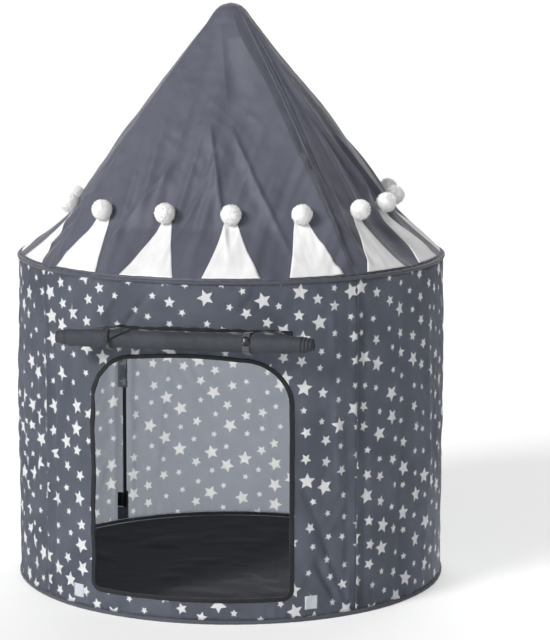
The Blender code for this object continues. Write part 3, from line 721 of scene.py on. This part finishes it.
def binding_place(across, up):
    x, z, out_x, out_z, run = frames[round(across * len(frames)) % len(frames)]
    width, out = along(fold, up)
    pucker = 0.00025 * math.sin(run * 700) + 0.0004 * rough(run * 60, up, 2)
    return on_front(x + out_x * width, z + out_z * width, out + math.copysign(pucker, out))


binding_mesh = cloth_mesh("binding", len(frames), 18, binding_place, strip(door_run, 0.024), closed=True)
binding = sewn("doorway_binding_tape", binding_mesh, binding_tape)
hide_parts("door_binding")


# Roof. Four plain panels meet at ridges that run over the roof poles, and are sewn to the tunnel at the foot.
# The cloth is bowed over the poles, hangs flatter between them and flares out at the crown, and it falls in
# long creases.
tent_height = 1.350
roof_apex_height = tent_height - 0.002
roof_rise = roof_apex_height - wall_height
slope = Vector((ring_radius, 0, -roof_rise)).normalized()
tunnel_leaf, roof_foot_gap = 0.0003, 0.00025
foot_reach = tunnel_radius + tunnel_leaf + roof_foot_gap
roof_foot_radius = ring_radius - slope.x * foot_reach
roof_foot_height = wall_height - slope.z * foot_reach
ridge_top_radius, roof_bow, roof_shoulder_share = 0.024, 0.020, 0.009
roof_top_share, roof_square_share, roof_flare_share = 0.003, 0.08, 0.84
roof_slack = 0.004
roof_run, roof_cut_length = 0.77, 0.773
roof_columns, roof_rows = 156, 150


def ridge_radius(share):
    """How far out a ridge is, at a share of the way down from the apex."""
    shoulder = (1 - share) * (1 - math.exp(-share / roof_shoulder_share))
    return ridge_top_radius * shoulder + roof_foot_radius * share + roof_bow * math.sin(math.pi * share)


def fullness(number, share):
    """How far out a panel's middle is beside its ridges: 0.71 is a flat panel and 1 a full cone."""
    lower = min(share / roof_flare_share, 1)
    full = {0: 0.80 + 0.09 * lower, 1: max(0.72, 0.895 - 0.36 * math.exp(-share / 0.165)),
            2: 0.80 + 0.09 * lower, 3: 0.80 + 0.04 * lower}[number % 4]
    if share > roof_flare_share:
        full += (1 - full) * (share - roof_flare_share) / (1 - roof_flare_share)
    if share < roof_square_share:
        full += (1 - full) * (1 - share / roof_square_share)
    return full


def roof_radius(number, angle, share):
    """How far out the roof is, at an angle from its panel's middle and a share of the way down the roof."""
    lower = min(share / roof_flare_share, 1)
    hang = math.sin(math.pi * lower) ** 2 * math.cos(12 * angle) * math.cos(2 * angle)
    return ridge_radius(share) * (1 - (1 - fullness(number, share)) * math.cos(2 * angle)) + roof_slack * hang


def roof_height(share):
    return roof_apex_height - (roof_apex_height - roof_foot_height) * share


def roof_point(number, angle, share, out=0.0):
    """A point on a roof panel, moved out of the cloth."""
    point = around(angle, roof_radius(number, angle, share), roof_height(share))
    return point + out * Vector((-math.sin(angle) * slope.z, math.cos(angle) * slope.z, slope.x))


# Each crease: its panel, the ridge it is measured from (1 right, -1 left), its line as (share of the way
# down, distance from that ridge), how far it stands out, and how wide it is on the ridge's side and beyond.
roof_creases = [
    (0, 1, [(0.04, 0.020), (0.14, 0.035), (0.30, 0.028), (0.60, 0.026), (0.72, 0.021), (1.0, 0.011)],
     0.0105, 0.050, 0.085),
    (1, -1, [(0.10, 0.014), (0.40, 0.026), (0.95, 0.026)], 0.0034, 0.007, 0.018),
    (1, -1, [(0.10, 0.006), (0.30, 0.009), (0.80, 0.010)], 0.0024, 0.006, 0.007),
    (1, -1, [(0.04, 0.016), (0.23, 0.036), (0.31, 0.047), (0.41, 0.070), (0.51, 0.100), (0.62, 0.15),
             (0.80, 0.23)], 0.0105, 0.022, 0.050),
    (1, -1, [(0.40, 0.055), (0.60, 0.085), (0.84, 0.115)], 0.0065, 0.016, 0.040),
    (1, -1, [(0.50, 0.185), (0.70, 0.260), (0.90, 0.330)], 0.0060, 0.020, 0.050),
    (2, -1, [(0.15, 0.060), (0.50, 0.150), (0.85, 0.210)], 0.0055, 0.045, 0.030),
    (2, 1, [(0.10, 0.030), (0.55, 0.075), (0.90, 0.120)], 0.0045, 0.025, 0.045),
    (3, 1, [(0.20, 0.060), (0.55, 0.140), (0.90, 0.230)], 0.0040, 0.040, 0.050),
    (3, -1, [(0.12, 0.025), (0.50, 0.060), (0.90, 0.090)], 0.0045, 0.022, 0.050),
    (0, 1, [(0.05, 0.060), (0.25, 0.110), (0.42, 0.150)], 0.0016, 0.020, 0.035),
    (0, 1, [(0.44, 0.205), (0.70, 0.250), (0.95, 0.285)], 0.0058, 0.014, 0.026),
    (0, 1, [(0.46, 0.155), (0.70, 0.150), (0.96, 0.130)], 0.0060, 0.016, 0.030),
    (0, -1, [(0.54, 0.178), (0.80, 0.150), (0.97, 0.145)], 0.0056, 0.018, 0.028),
    (0, -1, [(0.50, 0.255), (0.70, 0.290), (0.95, 0.300)], 0.0050, 0.015, 0.026),
]


roof_crease_gain, roof_crease_end = 1.25, 0.10
roof_fold_depth = 0.0110
roof_pucker, roof_foot_gather = 0.0005, 0.0006


def crease_lift(number, angle, share):
    """How far the creases lift a roof panel."""
    lift = 0.0
    for panel, edge, line, depth, before, after in roof_creases:
        if panel != number:
            continue
        ease = min(1, (share - line[0][0]) / roof_crease_end, (line[-1][0] - share) / roof_crease_end)
        if ease <= 0:
            continue
        place_now = between(line, share)
        past = (quarter / 2 - edge * angle) * ridge_radius(share) - place_now
        width = min(before, place_now) if past < 0 else after
        lift += roof_crease_gain * depth * ease * max(0.0, 1 - abs(past) / width) ** 2
    return lift


def roof_crinkle(angle, share, number):
    """How a roof panel leaves its smooth form: creases, soft folds, crush lines, and puckers at its edges."""
    down = share * roof_run
    seed = number * 3.7
    run = angle * roof_foot_radius * share
    from_ridge = max(0.0, ridge_radius(share) * (quarter / 2 - abs(angle)))
    loose = min(1, max(0.12, (share - 0.30) / 0.35)) * min(1, (1 - share) / 0.04)
    fold_line = 0.45 - 1.4 * abs(rough(run * 15 + down * 3, down * 1.8, seed))
    fold_line += 0.35 * rough(run * 42 + down * 6, down * 3.0, seed + 6)
    swell = rough(run * 9, down * 4, seed + 2)
    bias = rough(run * 26 - down * 21, down * 9 + run * 5, seed + 3)
    fine = rough(run * 60, down * 40, seed + 8)
    middle = math.sin(math.pi * min(1, max(0, (share - 0.03) / 0.97)))
    crush = 0.0026 * swell + 0.0012 * (0.5 - abs(bias)) + 0.0003 * fine
    soft = middle * crush + roof_fold_depth * loose * fold_line
    pucker_wave = math.sin(down * 330 + 4 * rough(down * 14, seed, 1))
    pucker = math.exp(-abs(from_ridge - 0.006) / 0.007) * pucker_wave
    foot_wave = math.sin(run * 210 + 3 * rough(run * 16, seed, 6))
    foot = math.exp(-(1 - share) * roof_run / 0.02) * foot_wave
    calm = min(1, from_ridge / 0.012)
    lifted = calm * (soft + roof_pucker * pucker) + roof_foot_gather * foot * calm
    return lifted + crease_lift(number, angle, share)


# A roof panel's grid runs down from the apex, so its faces look inward and the lining is its first finish.
roof_cloth = woven(
    "roof cloth", paint(78, 80, 91), paint(86, 88, 100), roughness=0.46, sheen=0.3, crease=0.004,
)
lining = woven("roof cloth inside", paint(74, 76, 85), paint(84, 86, 95), roughness=0.8)
sleeve_cloth = woven("sleeve cloth", paint(70, 73, 81), paint(78, 81, 90), crease=0.001)


def roof_share(up):
    return roof_top_share + (1 - roof_top_share) * up**1.25


def roof_place(number):
    turn = Matrix.Rotation(number * quarter, 3, "Z")

    def place(across, up):
        share = roof_share(up)
        angle = (quarter / 2 - 0.0001 / ridge_radius(share)) * (2 * across - 1)
        return turn @ roof_point(number, angle, share, roof_crinkle(angle, share, number))

    return place


def roof_measure(across, up):
    share = roof_share(up)
    return (across - 0.5) * quarter * roof_foot_radius * share, share * roof_cut_length


sleeve_start_share, sleeve_end_share = 0.20, 0.90
ridge_welt, ridge_welt_rise, ridge_welt_sink = 0.0026, 0.0013, 0.0002


def ridge_point(number, share, depth, aside):
    """A point under a panel's right ridge, moved in from the cloth and aside, with the ridge towards -Y."""
    radius = ridge_radius(share)
    if aside:
        panel = number + 1 if aside > 0 else number
        radius = roof_radius(panel, quarter / 2 - abs(aside) / radius, share) * math.cos(aside / radius)
    return Vector((aside, -radius, roof_height(share))) + depth * Vector((0, -slope.z, -slope.x))


def ridge_sleeve_place(number):
    """The cloth sleeve under a ridge, round its roof pole."""
    turn = Matrix.Rotation((number + 0.5) * quarter, 3, "Z")
    half = [(-0.011, 0.0009), (-0.0070, 0.0022), (-0.0058, 0.0062), (-0.0046, 0.0098), (-0.0020, 0.0112)]
    section = half + [(-aside, depth) for aside, depth in reversed(half)]

    def place(across, up):
        share = sleeve_start_share + (sleeve_end_share - sleeve_start_share) * up
        aside, depth = along(section, across)
        depth += 0.0004 * math.sin(share * 240 + across * 4) * math.sin(math.pi * across)
        return turn @ ridge_point(number, share, depth, aside)

    return place


def ridge_seam_place(number):
    """The felled seam on a ridge: a low round welt over the join of two panels."""
    turn = Matrix.Rotation((number + 0.5) * quarter, 3, "Z")

    def place(across, up):
        share = 0.012 + 0.984 * up
        bend = math.pi * across
        aside = -ridge_welt * math.cos(bend)
        uneven = 0.0002 * math.sin(share * 900) + 0.0003 * rough(share * 60, number, 2)
        out = (ridge_welt_rise + uneven) * math.sin(bend) - ridge_welt_sink
        point = ridge_point(number, share, -out, 0.0)
        return turn @ (point + Vector((aside, 0.35 * abs(aside), 0)))

    return place


for side, number in sides.items():
    mesh = cloth_mesh(f"roof_{side}", roof_columns, roof_rows, roof_place(number), roof_measure)
    roof = sewn(f"roof_cloth_{side}", mesh, lining, roof_cloth, thickness=cloth_thickness, inside=1)
    sleeve_mesh = cloth_mesh(f"ridge_sleeve_{side}", 27, 90, ridge_sleeve_place(number), strip(0.04, 0.55))
    ridge_sleeve = sewn(f"ridge_sleeve_{side}", sleeve_mesh, sleeve_cloth, thickness=trim_thickness)
    seam_mesh = cloth_mesh(f"ridge_seam_{side}", 8, 420, ridge_seam_place(number), strip(0.008, 0.77))
    ridge_seam = sewn(f"ridge_seam_{side}", seam_mesh, roof_cloth, thickness=trim_thickness)
    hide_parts(f"roof_panel_{side}")


# Apex cap and hub. A small round of roof cloth is sewn over the panels' tips,
# and under it the roof poles plug into a moulded black hub.
cap_rows, cap_share = 18, 0.014
cap_profile = []
for step in range(cap_rows + 1):
    share = cap_share * (1 - step / cap_rows) ** 1.6
    over = 0.0004 + 0.0005 * min(1, step / 6)
    cap_profile.append((ridge_radius(share) + over, roof_height(share) + over))
cap_profile[-1] = (0.0, cap_profile[-1][1])


def cap_place(across, up):
    return around(2 * math.pi * across, *cap_profile[round(up * cap_rows)])


cap_mesh = cloth_mesh("cap", 64, cap_rows, cap_place, strip(0.16, 0.16), closed=True)
cap = sewn("apex_cap_cloth", cap_mesh, roof_cloth, thickness=cloth_thickness)
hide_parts("apex_cap")


def moulded(name, colour, roughness, grain):
    """Moulded plastic or rubber with a fine spark-eroded grain."""
    nodes = Nodes(name)
    place = nodes.make("ShaderNodeTexCoord").outputs["Object"]
    speck = nodes.make("ShaderNodeTexNoise", Vector=place, Scale=900.0, Detail=2.0)
    tone = nodes.mix(speck.outputs["Fac"], colour, toned(colour, 1.5))
    bump = nodes.make("ShaderNodeBump", Height=speck.outputs["Fac"], Distance=grain, Strength=0.4)
    shine = nodes.remap(speck.outputs["Fac"], 0.3, 0.7, roughness - 0.06, roughness + 0.06)
    nodes.surface(Base_Color=tone, Roughness=shine, Normal=bump.outputs["Normal"])
    return nodes.material


black_plastic = moulded("moulded plastic", paint(26, 26, 28), 0.42, 0.0001)


def carried_over(node, finish):
    """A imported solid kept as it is, with a finish of its own."""
    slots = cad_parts[node].data.materials
    slots.clear()
    slots.append(finish)


carried_over("apex_hub", black_plastic)
corners = {"front_right": 0, "rear_right": 1, "rear_left": 2, "front_left": 3}
for corner in corners:
    carried_over(f"pole_elbow_{corner}", black_plastic)


# Poles. Black fibreglass rods, each wall pole in two sections with a ferrule, a rubber tip in the pocket,
# and an elbow at the top where the roof pole plugs in.
rod_black = moulded("fibreglass rod", paint(22, 22, 24), 0.34, 0.00005)
for corner in corners:
    for kind in ("wall_pole", "roof_pole"):
        carried_over(f"{kind}_{corner}", rod_black)


# Pockets and bands. Each wall pole's foot stands in a sewn pocket of grey cloth,
# and a black hook-and-loop band above it holds the pole to the wall.
pocket_cloth = woven("pocket cloth", paint(84, 87, 96), paint(92, 95, 104), crease=0.0008)
band_black = woven("band", paint(20, 20, 22), paint(34, 34, 37), roughness=0.9, sheen=0.6, pitch=0.0021)
pocket_low_height, pocket_top_height, pocket_thickness = 0.0115, 0.0445, 0.0008
band_low_height, band_top_height = 0.0462, 0.0828
pocket_hug, band_hug, pocket_half_width = 0.0064, 0.0068, 0.016
tuck_share, tuck_radius, tuck_pull = 0.2, 0.4985, 0.88


def pocket_place(number):
    """Cloth over a pole's foot, drawn out to the wall along its lowest fifth, where it is sewn down."""
    path = over_pole(pocket_hug, pocket_half_width)
    place = sleeve_place(path, pocket_low_height, pocket_top_height, number, 0.0006, 300)

    def tucked(across, up):
        point = place(across, up)
        if up < tuck_share:
            reach = Vector((point.x, point.y)).length
            pull = (tuck_radius / reach - 1) * (1 - up / tuck_share) * tuck_pull
            point.x += point.x * pull
            point.y += point.y * pull
        return point

    return tucked


for corner, number in corners.items():
    pocket_mesh = cloth_mesh(f"pocket_{corner}", 28, 24, pocket_place(number), strip(0.05, 0.033))
    pocket = sewn(f"foot_pocket_{corner}", pocket_mesh, pocket_cloth, thickness=pocket_thickness)
    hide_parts(f"pole_pocket_{corner}")
    band_path = over_pole(band_hug, pocket_half_width)
    place = sleeve_place(band_path, band_low_height, band_top_height, number, 0.0003, 200)
    band_mesh = cloth_mesh(f"band_{corner}", 28, 16, place, strip(0.05, 0.037))
    band = sewn(
        f"hook_band_{corner}", band_mesh, band_black, body=f"band_{corner}", thickness=strap_thickness,
    )
    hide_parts(f"pocket_band_{corner}")


# Crown. Sixteen white triangles are sewn flat on the foot of the roof with their tips up,
# and each tip carries a white yarn pompom.
crown_top_share, crown_foot_share = 0.772, 0.993
crown_angles = (-33.75, -11.25, 11.25, 33.75)
crown_half = math.radians(7.5)
crown_tip, crown_foot, crown_rise, crown_lift = 0.007, 0.117, 0.17, 0.0016
pompom_radius, pompom_share, strand_count = 0.0207, 0.797, 1900
white_cloth = woven(
    "white cloth", paint(216, 216, 216), paint(227, 227, 227), roughness=0.6, sheen=0.15, crease=0.0008,
)
yarn = Nodes("pompom yarn")
yarn_place = yarn.make("ShaderNodeTexCoord").outputs["Object"]
yarn_tone = yarn.make("ShaderNodeTexNoise", Vector=yarn_place, Scale=260.0, Detail=3.0)
yarn_white = yarn.mix(yarn_tone.outputs["Fac"], paint(252, 252, 251), paint(255, 255, 255))
yarn_shine = yarn.remap(yarn_tone.outputs["Fac"], 0, 1, 0.85, 0.98)
yarn.surface(Base_Color=yarn_white, Roughness=yarn_shine, Sheen_Weight=0.8)


def strand_end(shape, middle, side, other, thick, taper):
    """The three corners at one end of a yarn strand."""
    corners = []
    for k in range(3):
        turn = 2 * math.pi * k / 3
        away = (side * math.cos(turn) + other * math.sin(turn)) * thick * taper
        corners.append(shape.verts.new(middle + away))
    return corners


def pompom_mesh(seed):
    """A trimmed yarn pompom: a lumpy core and many short tapering strand ends."""
    dice = random.Random(seed)
    shape = bmesh.new()
    bmesh.ops.create_icosphere(shape, subdivisions=4, radius=pompom_radius * 0.86)
    for corner in shape.verts:
        lump = 0.0014 * noise.noise(corner.co * 260)
        lump += 0.0012 * noise.noise(corner.co * 90 + Vector((seed, 0, 0)))
        corner.co += corner.co.normalized() * lump
    for i in range(strand_count):
        height = 1 - 2 * (i + 0.5) / strand_count
        turn = i * math.pi * (3 - math.sqrt(5))
        ring = math.sqrt(1 - height * height)
        out = Vector((ring * math.cos(turn), ring * math.sin(turn), height))
        out = (out + Vector([dice.uniform(-0.12, 0.12) for _ in range(3)])).normalized()
        lean = (out + Vector([dice.uniform(-0.45, 0.45) for _ in range(3)])).normalized()
        root = out * pompom_radius * 0.80
        tip = root + lean * pompom_radius * dice.uniform(0.20, 0.42)
        side = lean.orthogonal().normalized()
        other = lean.cross(side)
        thick = dice.uniform(0.0005, 0.0009)
        base = strand_end(shape, root, side, other, thick, 1.0)
        top = strand_end(shape, tip, side, other, thick, 0.45)
        for k in range(3):
            shape.faces.new((base[k], base[(k + 1) % 3], top[(k + 1) % 3], top[k]))
        shape.faces.new(top)
    mesh = baked(shape, bpy.data.meshes.new("pompom"))
    mesh.shade_smooth()
    mesh.materials.append(yarn.material)
    return mesh


def triangle_place(number, count, middle):
    """A white triangle lying on a roof panel, from its blunt tip down to its foot, a little buckled."""
    turn = Matrix.Rotation(number * quarter, 3, "Z")

    def place(across, up):
        share = crown_top_share + (crown_foot_share - crown_top_share) * up
        tip = crown_tip / roof_radius(number, middle, share)
        half = tip + (crown_half - tip) * up**1.1
        angle = middle + half * (2 * across - 1)
        lift = crown_lift + roof_crinkle(angle, share, number)
        fold = 0.0009 * rough(angle * 50, share * 9, number * 4 + count)
        edge = min(1, (1 - abs(2 * across - 1)) * 5)
        return turn @ roof_point(number, angle, share, lift + fold * edge)

    return place


def triangle_measure(across, up):
    return (across - 0.5) * (2 * crown_tip + crown_foot * up), up * crown_rise


pompom_meshes = [pompom_mesh(seed) for seed in (3, 8)]
for side, number in sides.items():
    turn = Matrix.Rotation(number * quarter, 3, "Z")
    for count, degrees in enumerate(crown_angles, 1):
        middle = math.radians(degrees)
        place = triangle_place(number, count, middle)
        mesh = cloth_mesh(f"triangle_{side}_{count}", 20, 44, place, triangle_measure)
        cloth_piece = sewn(f"crown_triangle_{side}_{count}", mesh, white_cloth, thickness=cloth_thickness)
        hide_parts(f"crown_{side}_{count}")
        pompom = placed(f"pompom_{side}_{count}", pompom_meshes[count % 2])
        pompom.location = turn @ roof_point(number, middle, pompom_share, pompom_radius)
        pompom.rotation_euler = (number * 1.3 + count, count * 2.1, number)
        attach(pompom, "tent")


# Door curtain. The doorway's curtain is sewn to the wall above the opening under a dark tape, and rolled up
# outward, so the roll shows the cloth's plain reverse and its layers step out at both ends.
roll_radius = 0.0212
roll_height = 0.636
roll_stand_off = 0.0020
roll_line = -(ring_radius + roll_stand_off + roll_radius)
roll_layer = roll_radius - half_cloth
roll_half_length = 0.256
roll_telescope = 0.030
roll_turns, roll_pitch, stepped_turns = 8, 0.0016, 4
roll_taper, outer_turn_share = 0.0010, 0.13
hung_lift, hung_sink, hung_fold, hung_give = 0.0011, 0.0003, 0.0006, 0.0028
curtain_seam_height = 0.6535
curtain_seam_half_width = 0.200
roll_cloth = woven(
    "curtain reverse", paint(48, 51, 57), paint(62, 65, 72), roughness=0.7, sheen=0.1, crease=0.004,
)


def roll_place(across, up):
    """The rolled cloth, from its outermost turn in to its core."""
    turn = roll_turns * up
    radius = roll_layer - roll_pitch * turn
    angle = 2 * math.pi * turn
    half = roll_half_length + roll_telescope * min(1, turn / stepped_turns)
    x = half * (2 * across - 1)
    radius -= roll_taper * (x / roll_half_length) ** 2
    ripple = 0.0024 * rough(x * 22, angle * 0.8, 1) + 0.0010 * rough(x * 60, angle * 2, 4)
    twist = 0.0007 * math.sin(x * 130 + angle * 2)
    radius += min(0, ripple + twist) if up < outer_turn_share else 0.0
    return Vector((x, roll_line + radius * math.cos(angle), roll_height - radius * math.sin(angle)))


roll_mesh = cloth_mesh("roll", 150, 256, roll_place, lambda across, up: ((across - 0.5) * 0.56, up * 0.61))
roll = sewn("rolled_curtain", roll_mesh, roll_cloth, body="curtain", thickness=trim_thickness)
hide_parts("door_curtain_roll")


def hung_place(across, up):
    """The stretch between seam and roll, which lies hidden behind the roll until the curtain is let down."""
    start_x = curtain_seam_half_width * (2 * across - 1)
    top = on_front(start_x, curtain_seam_height, hung_lift)
    low_x = roll_half_length * (2 * across - 1)
    low = Vector((low_x, roll_line + roll_layer - hung_sink, roll_height + 0.001))
    point = low + (top - low) * up
    fold = math.sin(across * 88 + 2 * rough(across * 9, 0, 0)) * math.sin(math.pi * up)
    give = min(1, (1 - up) / 0.05) * min(1, max(0, (up - 0.3) / 0.4))
    return point - Vector((0, hung_fold + hung_fold * fold + hung_give * give, 0))


def hung_measure(across, up):
    return (across - 0.5) * 0.51, 0.66 - 0.62 * (1 - up)


hung_mesh = cloth_mesh("hung", 160, 24, hung_place, hung_measure)
hung = sewn(
    "curtain_at_seam", hung_mesh, outside_print, roll_cloth, body=None, thickness=trim_thickness, inside=1,
)
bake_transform(hung)
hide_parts("door_curtain_sheet")


# The tape reaches higher up the wall than a seam tape needs. Its dark strip above the roll is partly real
# tape and partly painted shadow of the gap between the roll and the wall.
seam_tape_start, seam_tape_run = -0.165, 0.390
seam_tape_height, seam_tape_and_shadow_width, seam_tape_dip = 0.6480, 0.0126, 0.165


def seam_tape_and_shadow_place(across, up):
    """The tape over the curtain's seam, drawn up into small scallops between its stitches, and wide enough
    that its dark top also paints the shadow of the gap above the roll.
    """
    x = seam_tape_start + seam_tape_run * across
    scallop = 0.0016 * abs(math.sin(x * 95)) + 0.0018 * rough(x * 17, 0, 5)
    behind = ring_radius - math.sqrt(ring_radius**2 - x**2)
    z = seam_tape_height - seam_tape_dip * behind + (seam_tape_and_shadow_width + scallop) * up
    return on_front(x, z, 0.0022 + 0.0006 * math.sin(math.pi * up))


seam_tape_and_shadow_mesh = cloth_mesh("curtain_seam_tape_and_shadow", 220, 6, seam_tape_and_shadow_place, strip(0.41, 0.011))
curtain_tape_and_shadow = sewn("curtain_seam_tape_and_shadow", seam_tape_and_shadow_mesh, binding_tape, thickness=cloth_thickness)


# Ties. At the left an elastic loop with a black bead, at the right a strap with an oval button,
# each sewn above the roll and passed over it to meet a short loop that comes up from below.
tie_seam_height = 0.653
loop_seam_height = 0.602
left_tie_x, left_spread, right_tie_x = -0.166, 0.052, 0.140
tie_end_angle, loop_end_angle = 176, -170
tie_strap_width, loop_strap_width = 0.015, 0.007
cord_radius, seam_lift, tie_gap, tie_give = 0.0013, 0.0013, 0.0006, 0.024
cord_path = roll_radius + tie_gap + cord_radius
strap_path = roll_radius + tie_gap + half_cloth
toggle_shift = Vector((0, -0.0035, 0.002))
cord_black = woven("elastic cord", paint(24, 24, 27), paint(40, 40, 44), roughness=0.85, pitch=0.0012)


def over_roll(x, seam_height, radius, last, count, below=False):
    """A tie's path from its seam on the wall, round the roll, to an angle on the roll's front."""
    start = on_front(x, seam_height, seam_lift)
    centre = Vector((x, roll_line, roll_height))
    away = start - centre
    bearing = math.atan2(away.z, away.y)
    lean = math.acos(radius / math.hypot(away.y, away.z))
    first = bearing - lean if below else bearing + lean
    last = math.radians(last)
    turns = [first + (last - first) * i / count for i in range(count + 1)]
    return [start] + [centre + radius * Vector((0, math.cos(t), math.sin(t))) for t in turns]


def cord_mesh(name, points, radius):
    """A round cord along a smooth curve near its points."""
    curve = bpy.data.curves.new(name, "CURVE")
    curve.dimensions = "3D"
    curve.bevel_depth = radius
    curve.bevel_resolution = 4
    curve.use_fill_caps = True
    line = curve.splines.new("NURBS")
    line.points.add(len(points) - 1)
    for knot, place in zip(line.points, points):
        knot.co = (*place, 1)
    line.use_endpoint_u = True
    line.order_u = 3
    thing = placed(name, curve)
    bpy.context.view_layer.update()
    mesh = bpy.data.meshes.new_from_object(thing.evaluated_get(bpy.context.evaluated_depsgraph_get()))
    bpy.data.objects.remove(thing)
    layer = mesh.uv_layers.new(name="cut")
    for loop in mesh.loops:
        point = mesh.vertices[loop.vertex_index].co
        layer.data[loop.index].uv = (point.x + point.z, point.y)
    mesh.shade_smooth()
    return mesh


def swings_from_seam(tie, seam):
    """Bake a tie's placement into its mesh."""
    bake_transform(tie)


for name, x, end_x in (("near", left_tie_x, left_tie_x), ("far", left_tie_x + left_spread, left_tie_x)):
    points = over_roll(x, tie_seam_height, cord_path, tie_end_angle, 9)
    for number, knot in enumerate(points):
        knot.x += (end_x - knot.x) * (number / (len(points) - 1)) ** 2
    leg = sewn(f"elastic_leg_{name}", cord_mesh(f"leg_{name}", points, cord_radius), cord_black, body=None)
    swings_from_seam(leg, points[0])
    if name == "near":
        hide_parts("tie_left")

bead_gloss = moulded("bead plastic", paint(22, 22, 25), 0.3, 0.00003)


def oval(name, half_sizes, place, turn, body):
    """A moulded oval with a shallow groove round its waist, where the tie holds it."""
    shape = bmesh.new()
    bmesh.ops.create_uvsphere(shape, u_segments=32, v_segments=20, radius=1)
    for corner in shape.verts:
        groove = 1 - 0.10 * math.exp(-((corner.co.z) / 0.12) ** 2)
        corner.co = Vector((corner.co.x * half_sizes[0] * groove, corner.co.y * half_sizes[1] * groove,
                            corner.co.z * half_sizes[2]))
    shape.transform(Matrix.Translation(place) @ Matrix.Rotation(turn, 4, "X"))
    mesh = baked(shape, bpy.data.meshes.new(name))
    mesh.shade_smooth()
    return sewn(name, mesh, bead_gloss, body=body)


for name, half_sizes, lean, body, node in (
    ("cord_bead", (0.0048, 0.0040, 0.0086), 0, "left_tie", "toggle_left"),
    ("strap_button", (0.0076, 0.0026, 0.0085), -26, "right_tie", "toggle_right"),
):
    low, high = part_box(node)
    toggle = oval(name, half_sizes, (low + high) / 2 + toggle_shift, math.radians(lean), body)
    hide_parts(node)

strap_cloth = woven("tie strap", paint(74, 77, 85), paint(82, 85, 93), roughness=0.75, pitch=0.0010)


def strap_mesh(name, x, width, seam_height, last, below):
    """A flat strap from its seam on the wall round the roll, a little crowned across its width."""

    def place(across, up):
        path = over_roll(x + width * (across - 0.5), seam_height, strap_path, last, 14, below)
        point = Vector(along([tuple(p) for p in path], up))
        crown = 0.0004 * math.sin(math.pi * across)
        return point + Vector((0, -crown, 0))

    return cloth_mesh(name, 12, 60, place, strip(width, 0.06))


mesh = strap_mesh("strap", right_tie_x, tie_strap_width, tie_seam_height, tie_end_angle, False)
upper = sewn("tie_strap_right", mesh, strap_cloth, body=None, thickness=strap_thickness)
swings_from_seam(upper, on_front(right_tie_x, tie_seam_height, seam_lift))
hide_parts("tie_right")
for side, x, width in (("left", left_tie_x, loop_strap_width), ("right", right_tie_x, tie_strap_width)):
    mesh = strap_mesh(f"loop_{side}", x, width, loop_seam_height, loop_end_angle, True)
    loop = sewn(f"loop_strap_{side}", mesh, strap_cloth, thickness=strap_thickness)
    seam = on_front(x, loop_seam_height, 0.002)
    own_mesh(loop)
    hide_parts(f"tie_loop_{side}")


# Hook patches. Two squares of pale woven hook tape, stitched to the front panel beside the doorway's foot,
# hold the curtain down when it is let fall.
patch_size, patch_low_height, patch_lift = 0.030, 0.026, 0.0006
patch_cloth = woven(
    "hook patch", paint(176, 181, 188), paint(196, 200, 206), roughness=0.9, sheen=0.5, pitch=0.0016,
)


def patch_place(degrees):
    """A square of tape on the front panel, at an angle from its middle, lower along its stitched edges."""
    half = patch_size / 2 / ring_radius

    def place(across, up):
        angle = math.radians(degrees) + half * (2 * across - 1)
        height = patch_low_height + patch_size * up
        edge = min(1, 8 * min(across, 1 - across, up, 1 - up))
        radius = wall_radius(angle, height) + crinkle(angle, height, 0)
        return around(angle, radius + patch_lift + patch_lift * edge, height)

    return place


for name, degrees in (("left", -32), ("right", 32)):
    mesh = cloth_mesh(f"patch_{name}", 24, 24, patch_place(degrees), strip(patch_size, patch_size))
    piece = sewn(f"hook_patch_{name}", mesh, patch_cloth, thickness=trim_thickness)


# Studio. A wide pale floor that glows a little, a faint white surround, a soft light from the upper left,
# a very wide fill from the camera's side, and a wide light from behind that shines through the cloth.
shape = bmesh.new()
bmesh.ops.create_grid(shape, x_segments=1, y_segments=1, size=50)
stage_mesh = baked(shape, bpy.data.meshes.new("studio_floor"))
stage_white = Nodes("studio floor")
stage_white.surface(
    Base_Color=(0.55, 0.55, 0.55, 1), Emission_Color=(1, 1, 1, 1), Emission_Strength=0.42,
    Roughness=0.95, Specular_IOR_Level=0.0,
)
stage_mesh.materials.append(stage_white.material)
stage = placed("studio_floor", stage_mesh)

world = bpy.data.worlds.new("studio")
bpy.context.scene.world = world
world.use_nodes = True
world.node_tree.nodes["Background"].inputs["Color"].default_value = (1, 1, 1, 1)
world.node_tree.nodes["Background"].inputs["Strength"].default_value = 0.12
for name, power, spread, towards in (
    ("softbox", 3.15, 18, (-0.51, -0.70, 0.49)),
    ("fill", 0.95, 70, (0.14, -0.87, 0.46)),
    ("backlight", 3.3, 60, (-0.05, 0.90, 0.42)),
):
    lamp_data = bpy.data.lights.new(name, "SUN")
    lamp_data.energy = power
    lamp_data.angle = math.radians(spread)
    lamp = placed(name, lamp_data)
    lamp.visible_glossy = name != "backlight"
    lamp.rotation_euler = Vector(towards).to_track_quat("Z", "Y").to_euler()
bpy.context.scene.view_settings.view_transform = "Standard"
